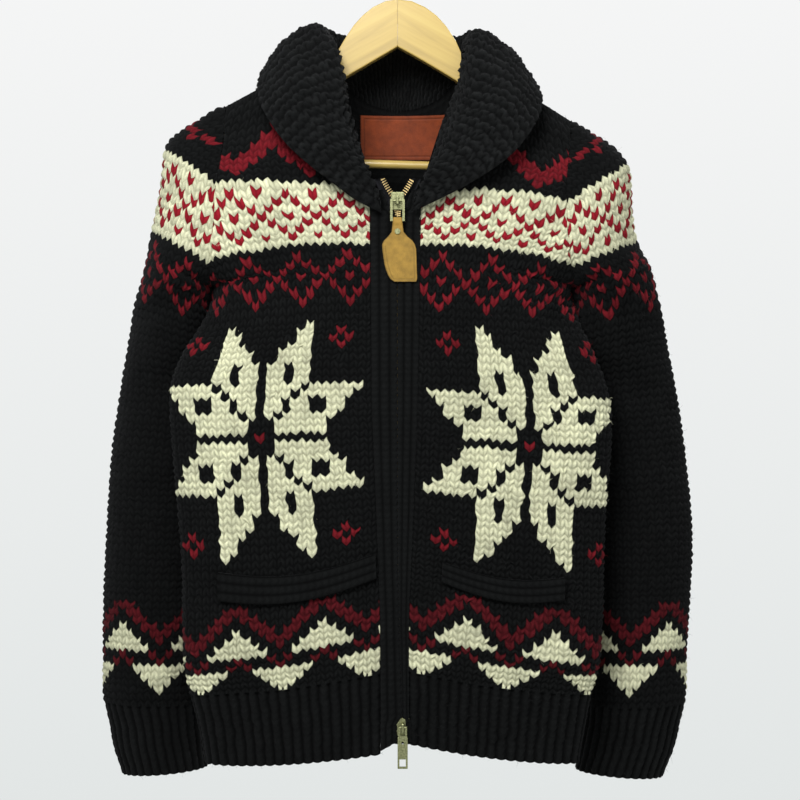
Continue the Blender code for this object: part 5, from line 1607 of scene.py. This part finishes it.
def wool(name, bump=0.5, sheen=0.03, hair=False):
    mat, shader, add, link = new_material(name)
    yarn = add("ShaderNodeAttribute", attribute_name="yarn_colour")
    shader.inputs["Roughness"].default_value = 0.95
    shader.inputs["Specular IOR Level"].default_value = 0.05
    shader.inputs["Sheen Weight"].default_value = sheen
    shader.inputs["Sheen Roughness"].default_value = 0.55
    shader.inputs["Sheen Tint"].default_value = (0.85, 0.86, 0.90, 1.0)
    if hair:
        link(yarn, "Color", shader, "Base Color")
        return mat
    run = add("ShaderNodeUVMap", uv_map="yarn_run")
    stretch = add("ShaderNodeMapping", Scale=(2.2, 9.0, 1.0))
    link(run, "UV", stretch, "Vector")
    strands = add("ShaderNodeTexNoise", Scale=1.0, Detail=6.0, Roughness=0.65)
    link(stretch, "Vector", strands, "Vector")
    place = add("ShaderNodeTexCoord")
    fluff = add("ShaderNodeTexNoise", Scale=900.0, Detail=4.0, Roughness=0.7)
    link(place, "Object", fluff, "Vector")
    patch = add("ShaderNodeTexNoise", Scale=26.0, Detail=3.0)
    link(place, "Object", patch, "Vector")
    shade = ramp(add, [(0.28, 0.62), (0.52, 1.0), (0.75, 1.32)])
    link(strands, "Fac", shade, "Fac")
    patchy = ramp(add, [(0.3, 0.86), (0.7, 1.12)])
    link(patch, "Fac", patchy, "Fac")
    strand_tone = multiply(add, link, (yarn, "Color"), (shade, "Color"))
    link(*multiply(add, link, strand_tone, (patchy, "Color")), shader, "Base Color")
    both = add("ShaderNodeMath", operation="ADD")
    link(strands, "Fac", both, 0)
    link(fluff, "Fac", both, 1)
    bumps = purl_side(add, link, run)
    tall = add("ShaderNodeMath", operation="MULTIPLY_ADD")
    link(bumps, "Value", tall, 0)
    tall.inputs[1].default_value = 3.0
    link(both, "Value", tall, 2)
    press = add("ShaderNodeBump", Strength=bump, Distance=0.0009)
    link(tall, "Value", press, "Height")
    link(press, "Normal", shader, "Normal")
    return mat


print("wool look ready, with the yarn's colour from the attribute yarn_colour")

# %% [markdown]
# ### Leather
# Leather has a fine pebbled grain, which a cell pattern gives, and cloudy darker places
# where it is handled.

# %% Leather look
def leather_look(name):
    mat, shader, add, link = new_material(name)
    tint = add("ShaderNodeAttribute", attribute_name="yarn_colour")
    place = add("ShaderNodeTexCoord")
    grain = add("ShaderNodeTexVoronoi", Scale=1500.0)
    link(place, "Object", grain, "Vector")
    cloud = add("ShaderNodeTexNoise", Scale=120.0, Detail=5.0, Roughness=0.6)
    link(place, "Object", cloud, "Vector")
    shade = ramp(add, [(0.3, 0.72), (0.7, 1.2)])
    link(cloud, "Fac", shade, "Fac")
    link(*multiply(add, link, (tint, "Color"), (shade, "Color")), shader, "Base Color")
    shader.inputs["Roughness"].default_value = 0.6
    shader.inputs["Specular IOR Level"].default_value = 0.22
    press = add("ShaderNodeBump", Strength=0.35, Distance=0.0004)
    link(grain, "Distance", press, "Height")
    link(press, "Normal", shader, "Normal")
    return mat


print("leather look ready, with its colour from the same attribute")

# %% [markdown]
# ### Wood
# Wood shows long grain lines: noise stretched along the board. The two arms are cut as a
# mirrored pair, so the grain is mirrored too, by taking the size of x and not its sign.

# %% Wood look
def wood_look(name):
    mat, shader, add, link = new_material(name)
    place = add("ShaderNodeTexCoord")
    apart, mirror = add("ShaderNodeSeparateXYZ"), add("ShaderNodeCombineXYZ")
    both_arms = add("ShaderNodeMath", operation="ABSOLUTE")
    link(place, "Object", apart, "Vector")
    link(apart, "X", both_arms, 0)
    link(both_arms, "Value", mirror, "X")
    link(apart, "Y", mirror, "Y")
    link(apart, "Z", mirror, "Z")
    turn = add("ShaderNodeMapping", Rotation=(0.0, -0.5, 0.0))
    link(mirror, "Vector", turn, "Vector")
    stretch = add("ShaderNodeMapping", Scale=(7.0, 110.0, 120.0))
    link(turn, "Vector", stretch, "Vector")
    grain = add("ShaderNodeTexNoise", Scale=1.0, Detail=7.0, Roughness=0.6, Distortion=0.4)
    link(stretch, "Vector", grain, "Vector")
    tint = ramp(add, [(0.28, (0.37, 0.255, 0.062)), (0.50, (0.465, 0.325, 0.080)),
                      (0.74, (0.52, 0.380, 0.102))])
    link(grain, "Fac", tint, "Fac")
    link(tint, "Color", shader, "Base Color")
    shader.inputs["Roughness"].default_value = 0.34
    shader.inputs["Coat Weight"].default_value = 0.35
    shader.inputs["Coat Roughness"].default_value = 0.18
    press = add("ShaderNodeBump", Strength=0.12, Distance=0.0004)
    link(grain, "Fac", press, "Height")
    link(press, "Normal", shader, "Normal")
    return mat


print("grain runs down each arm at", round(math.degrees(0.5)), "degrees")

# %% [markdown]
# ### Metal
# The sliders and pulls are worn plated brass. One noise drives both colour and roughness,
# so a dark spot is a dull one too.

# %% Metal look
def metal_look(name, light, dark, rough, scale=700.0):
    mat, shader, add, link = new_material(name)
    place = add("ShaderNodeTexCoord")
    wear = add("ShaderNodeTexNoise", Scale=scale, Detail=6.0, Roughness=0.7)
    link(place, "Object", wear, "Vector")
    tint = ramp(add, [(0.36, dark), (0.62, light)])
    link(wear, "Fac", tint, "Fac")
    link(tint, "Color", shader, "Base Color")
    rub = ramp(add, [(0.35, rough + 0.18), (0.7, rough)])
    link(wear, "Fac", rub, "Fac")
    link(rub, "Color", shader, "Roughness")
    shader.inputs["Metallic"].default_value = 1.0
    press = add("ShaderNodeBump", Strength=0.08, Distance=0.0002)
    link(wear, "Fac", press, "Height")
    link(press, "Normal", shader, "Normal")
    return mat


print("materials so far:", len(bpy.data.materials))

# %% [markdown]
# ### Painting the pieces
# Every piece was given a slot name when it was dressed, and the slot says which finish it
# wears. The small metal and wooden nodes of the CAD model are shown as they are, so they
# are painted here directly.

# %% Finishes
looks = {
    "charcoal_wool": wool("charcoal_wool"),
    "rib_wool": wool("rib_wool"),
    "collar_wool": wool("collar_wool", bump=0.7, sheen=0.04),
    "fibre": wool("loose_fibre", hair=True),
    "zip_tape": wool("zip_tape", bump=0.25),
    "brown_leather": leather_look("brown_leather"),
    "tan_leather": leather_look("tan_leather"),
    "hanger_wood": wood_look("hanger_wood"),
    "hook_steel": metal_look("hook_steel", (0.52, 0.51, 0.49), (0.36, 0.36, 0.35), 0.20, 90.0),
    "aged_metal": metal_look("aged_metal", (0.40, 0.41, 0.22), (0.13, 0.135, 0.065), 0.30),
    "brass_teeth": metal_look("brass_teeth", (0.62, 0.47, 0.22), (0.34, 0.24, 0.10), 0.30),
}


def paint(obj, mat):
    obj.data.materials.clear()
    obj.data.materials.append(mat)


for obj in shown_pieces():
    name = obj.name
    if name.endswith("_fibres"):
        paint(obj, looks["fibre"])
    elif name.startswith("zip_teeth"):
        paint(obj, looks["brass_teeth"])
    elif "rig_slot" in obj:
        paint(obj, looks[obj["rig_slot"]])
NODE_LOOKS = {
    "aged_metal": ("zip_slider_top", "zip_slider_bottom", "pull_frame", "pull_rivet", "pull_tab"),
    "hanger_wood": ("hanger_left", "hanger_right", "hanger_bar"),
    "hook_steel": ("hanger_hook",),
}
for look, nodes in NODE_LOOKS.items():
    for node in nodes:
        paint(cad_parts[node], looks[look])

# %% [markdown]
# ## How each sheet was cut
# Flat sizes of the knitted panels before sewing, for the cloth check and for a maker. A
# panel's width is that of its widest row and its length is measured up its middle; its
# area is the length times the mean width. A strip is measured along and across.

# %% Sheets
def flat_size(surface, r0, r1):
    rows = np.linspace(r0, r1, 60)
    points, _ = surface.at(rows, np.full(60, 0.5))
    length = float(np.linalg.norm(np.diff(points, axis=0), axis=1).sum())
    widths = np.array([surface.width(r) for r in rows])
    return float(widths.max()), length, float(widths.mean()) * length


def declare(obj, size):
    width, length, area = size
    area = min(area, width * length) * MM * MM
    print(obj.name, round(width), "x", round(length), "mm, area", round(area, 4), "m2")


for key in ("front_left", "front_right", "back"):
    declare(made[key], flat_size(surfaces[key.replace("front_", "")], *BODY_ROWS))
for key, source in (("hem_rib_left", "left"), ("hem_rib_right", "right"),
                    ("hem_rib_back", "back")):
    declare(made[key], flat_size(surfaces[source], *HEM_ROWS))
for side in ("left", "right"):
    declare(made[f"sleeve_{side}"], flat_size(surfaces[f"sleeve_{side}"], *SLEEVE_ROWS))
    declare(made[f"cuff_{side}"], flat_size(surfaces[f"sleeve_{side}"], *CUFF_ROWS))
    long, wide = strip_size[f"front_band_{side}"]
    declare(made[f"front_band_{side}"], (wide, long, wide * long * 0.98))
    long, wide = strip_size[f"pocket_welt_{side}"]
    declare(made[f"pocket_welt_{side}"], (long, wide, wide * long * 0.99))
    long = float(ZIP[-1].z - ZIP[0].z)
    declare(made[f"tape_{side}"], (15.0, long, 13.0 * long))
mean = float(collar_surface.widths.mean())
declare(made["collar"], (collar_surface.length, float(collar_surface.widths.max()),
                         collar_surface.length * mean))

# %% [markdown]
# ## Studio
# The room is only a background colour that changes with height: pale all round at the
# level of the cardigan, and darker above and below, which keeps the wool's shadows deep.

# %% Room
scene = bpy.context.scene
scene.view_settings.view_transform = "Standard"
world = bpy.data.worlds.new("pale_room")
world.use_nodes = True
background = world.node_tree.nodes["Background"]
background.inputs["Strength"].default_value = 0.98
add, link = node_tools(world.node_tree)
heading, split = add("ShaderNodeTexCoord"), add("ShaderNodeSeparateXYZ")
height = add("ShaderNodeMapRange", From_Min=-1.0, From_Max=1.0)
LOW_WALL, HIGH_WALL = (0.58, 0.60, 0.595), (0.36, 0.37, 0.37)
wall = ramp(add, [(0.0, LOW_WALL), (0.36, LOW_WALL), (0.40, (0.775, 0.805, 0.800)),
                  (0.60, (0.930, 0.935, 0.935)), (0.65, HIGH_WALL), (1.0, HIGH_WALL)])
link(heading, "Generated", split, "Vector")
link(split, "Z", height, "Value")
link(height, "Result", wall, "Fac")
link(wall, "Color", background, "Color")
scene.world = world
print("room colours:", len(wall.color_ramp.elements))

# %% [markdown]
# ### Floor
# A round pale floor, a little below the hem, with faint specks.

# %% Floor
bpy.ops.mesh.primitive_circle_add(vertices=96, radius=1.5, fill_type="NGON",
                                  location=(0.0, 0.1, -1.25))
floor = bpy.context.active_object
floor.name = "floor"
mat, shader, add, link = new_material("pale_floor")
place = add("ShaderNodeTexCoord")
speck = add("ShaderNodeTexNoise", Scale=30.0, Detail=4.0)
link(place, "Object", speck, "Vector")
tint = ramp(add, [(0.35, (0.56, 0.58, 0.575)), (0.65, (0.60, 0.62, 0.615))])
link(speck, "Fac", tint, "Fac")
link(tint, "Color", shader, "Base Color")
shader.inputs["Roughness"].default_value = 0.7
paint(floor, mat)
print("floor at", floor.location.z, "m")

# %% [markdown]
# ### Lights and camera
# Large soft panels: one in front and above, a weak one at the right, and a strong one
# behind that draws a thin bright outline on the hairs. The camera stands level with the
# middle of the cardigan, about two metres away, with a long lens.

# %% Lights and camera
def soft_light(name, place, aim, size, power):
    light = bpy.data.lights.new(name, "AREA")
    light.shape, light.size, light.size_y = "RECTANGLE", size, size
    light.energy = power
    obj = bpy.data.objects.new(name, light)
    scene.collection.objects.link(obj)
    obj.location = place
    obj.rotation_mode = "QUATERNION"
    obj.rotation_quaternion = (Vector(aim) - Vector(place)).to_track_quat("-Z", "Y")
    return obj


MIDDLE = (0.0, 0.0, -0.45)
soft_light("window", (-0.35, -1.25, 0.55), (0.0, 0.0, -0.15), 0.7, 27.0)
soft_light("fill", (1.8, -1.7, 0.3), MIDDLE, 1.3, 7.0)
soft_light("rear", (0.9, 1.9, 0.8), MIDDLE, 1.4, 40.0)

camera = bpy.data.objects.new("camera", bpy.data.cameras.new("camera"))
scene.collection.objects.link(camera)
camera.location = (0.0024, -1.96, -0.442)
camera.rotation_euler = (math.pi / 2, 0.0, 0.0)
camera.data.sensor_width, camera.data.lens = 36.0, 90.0
scene.camera = camera
print("camera distance:", round(-camera.location.y, 2), "m")
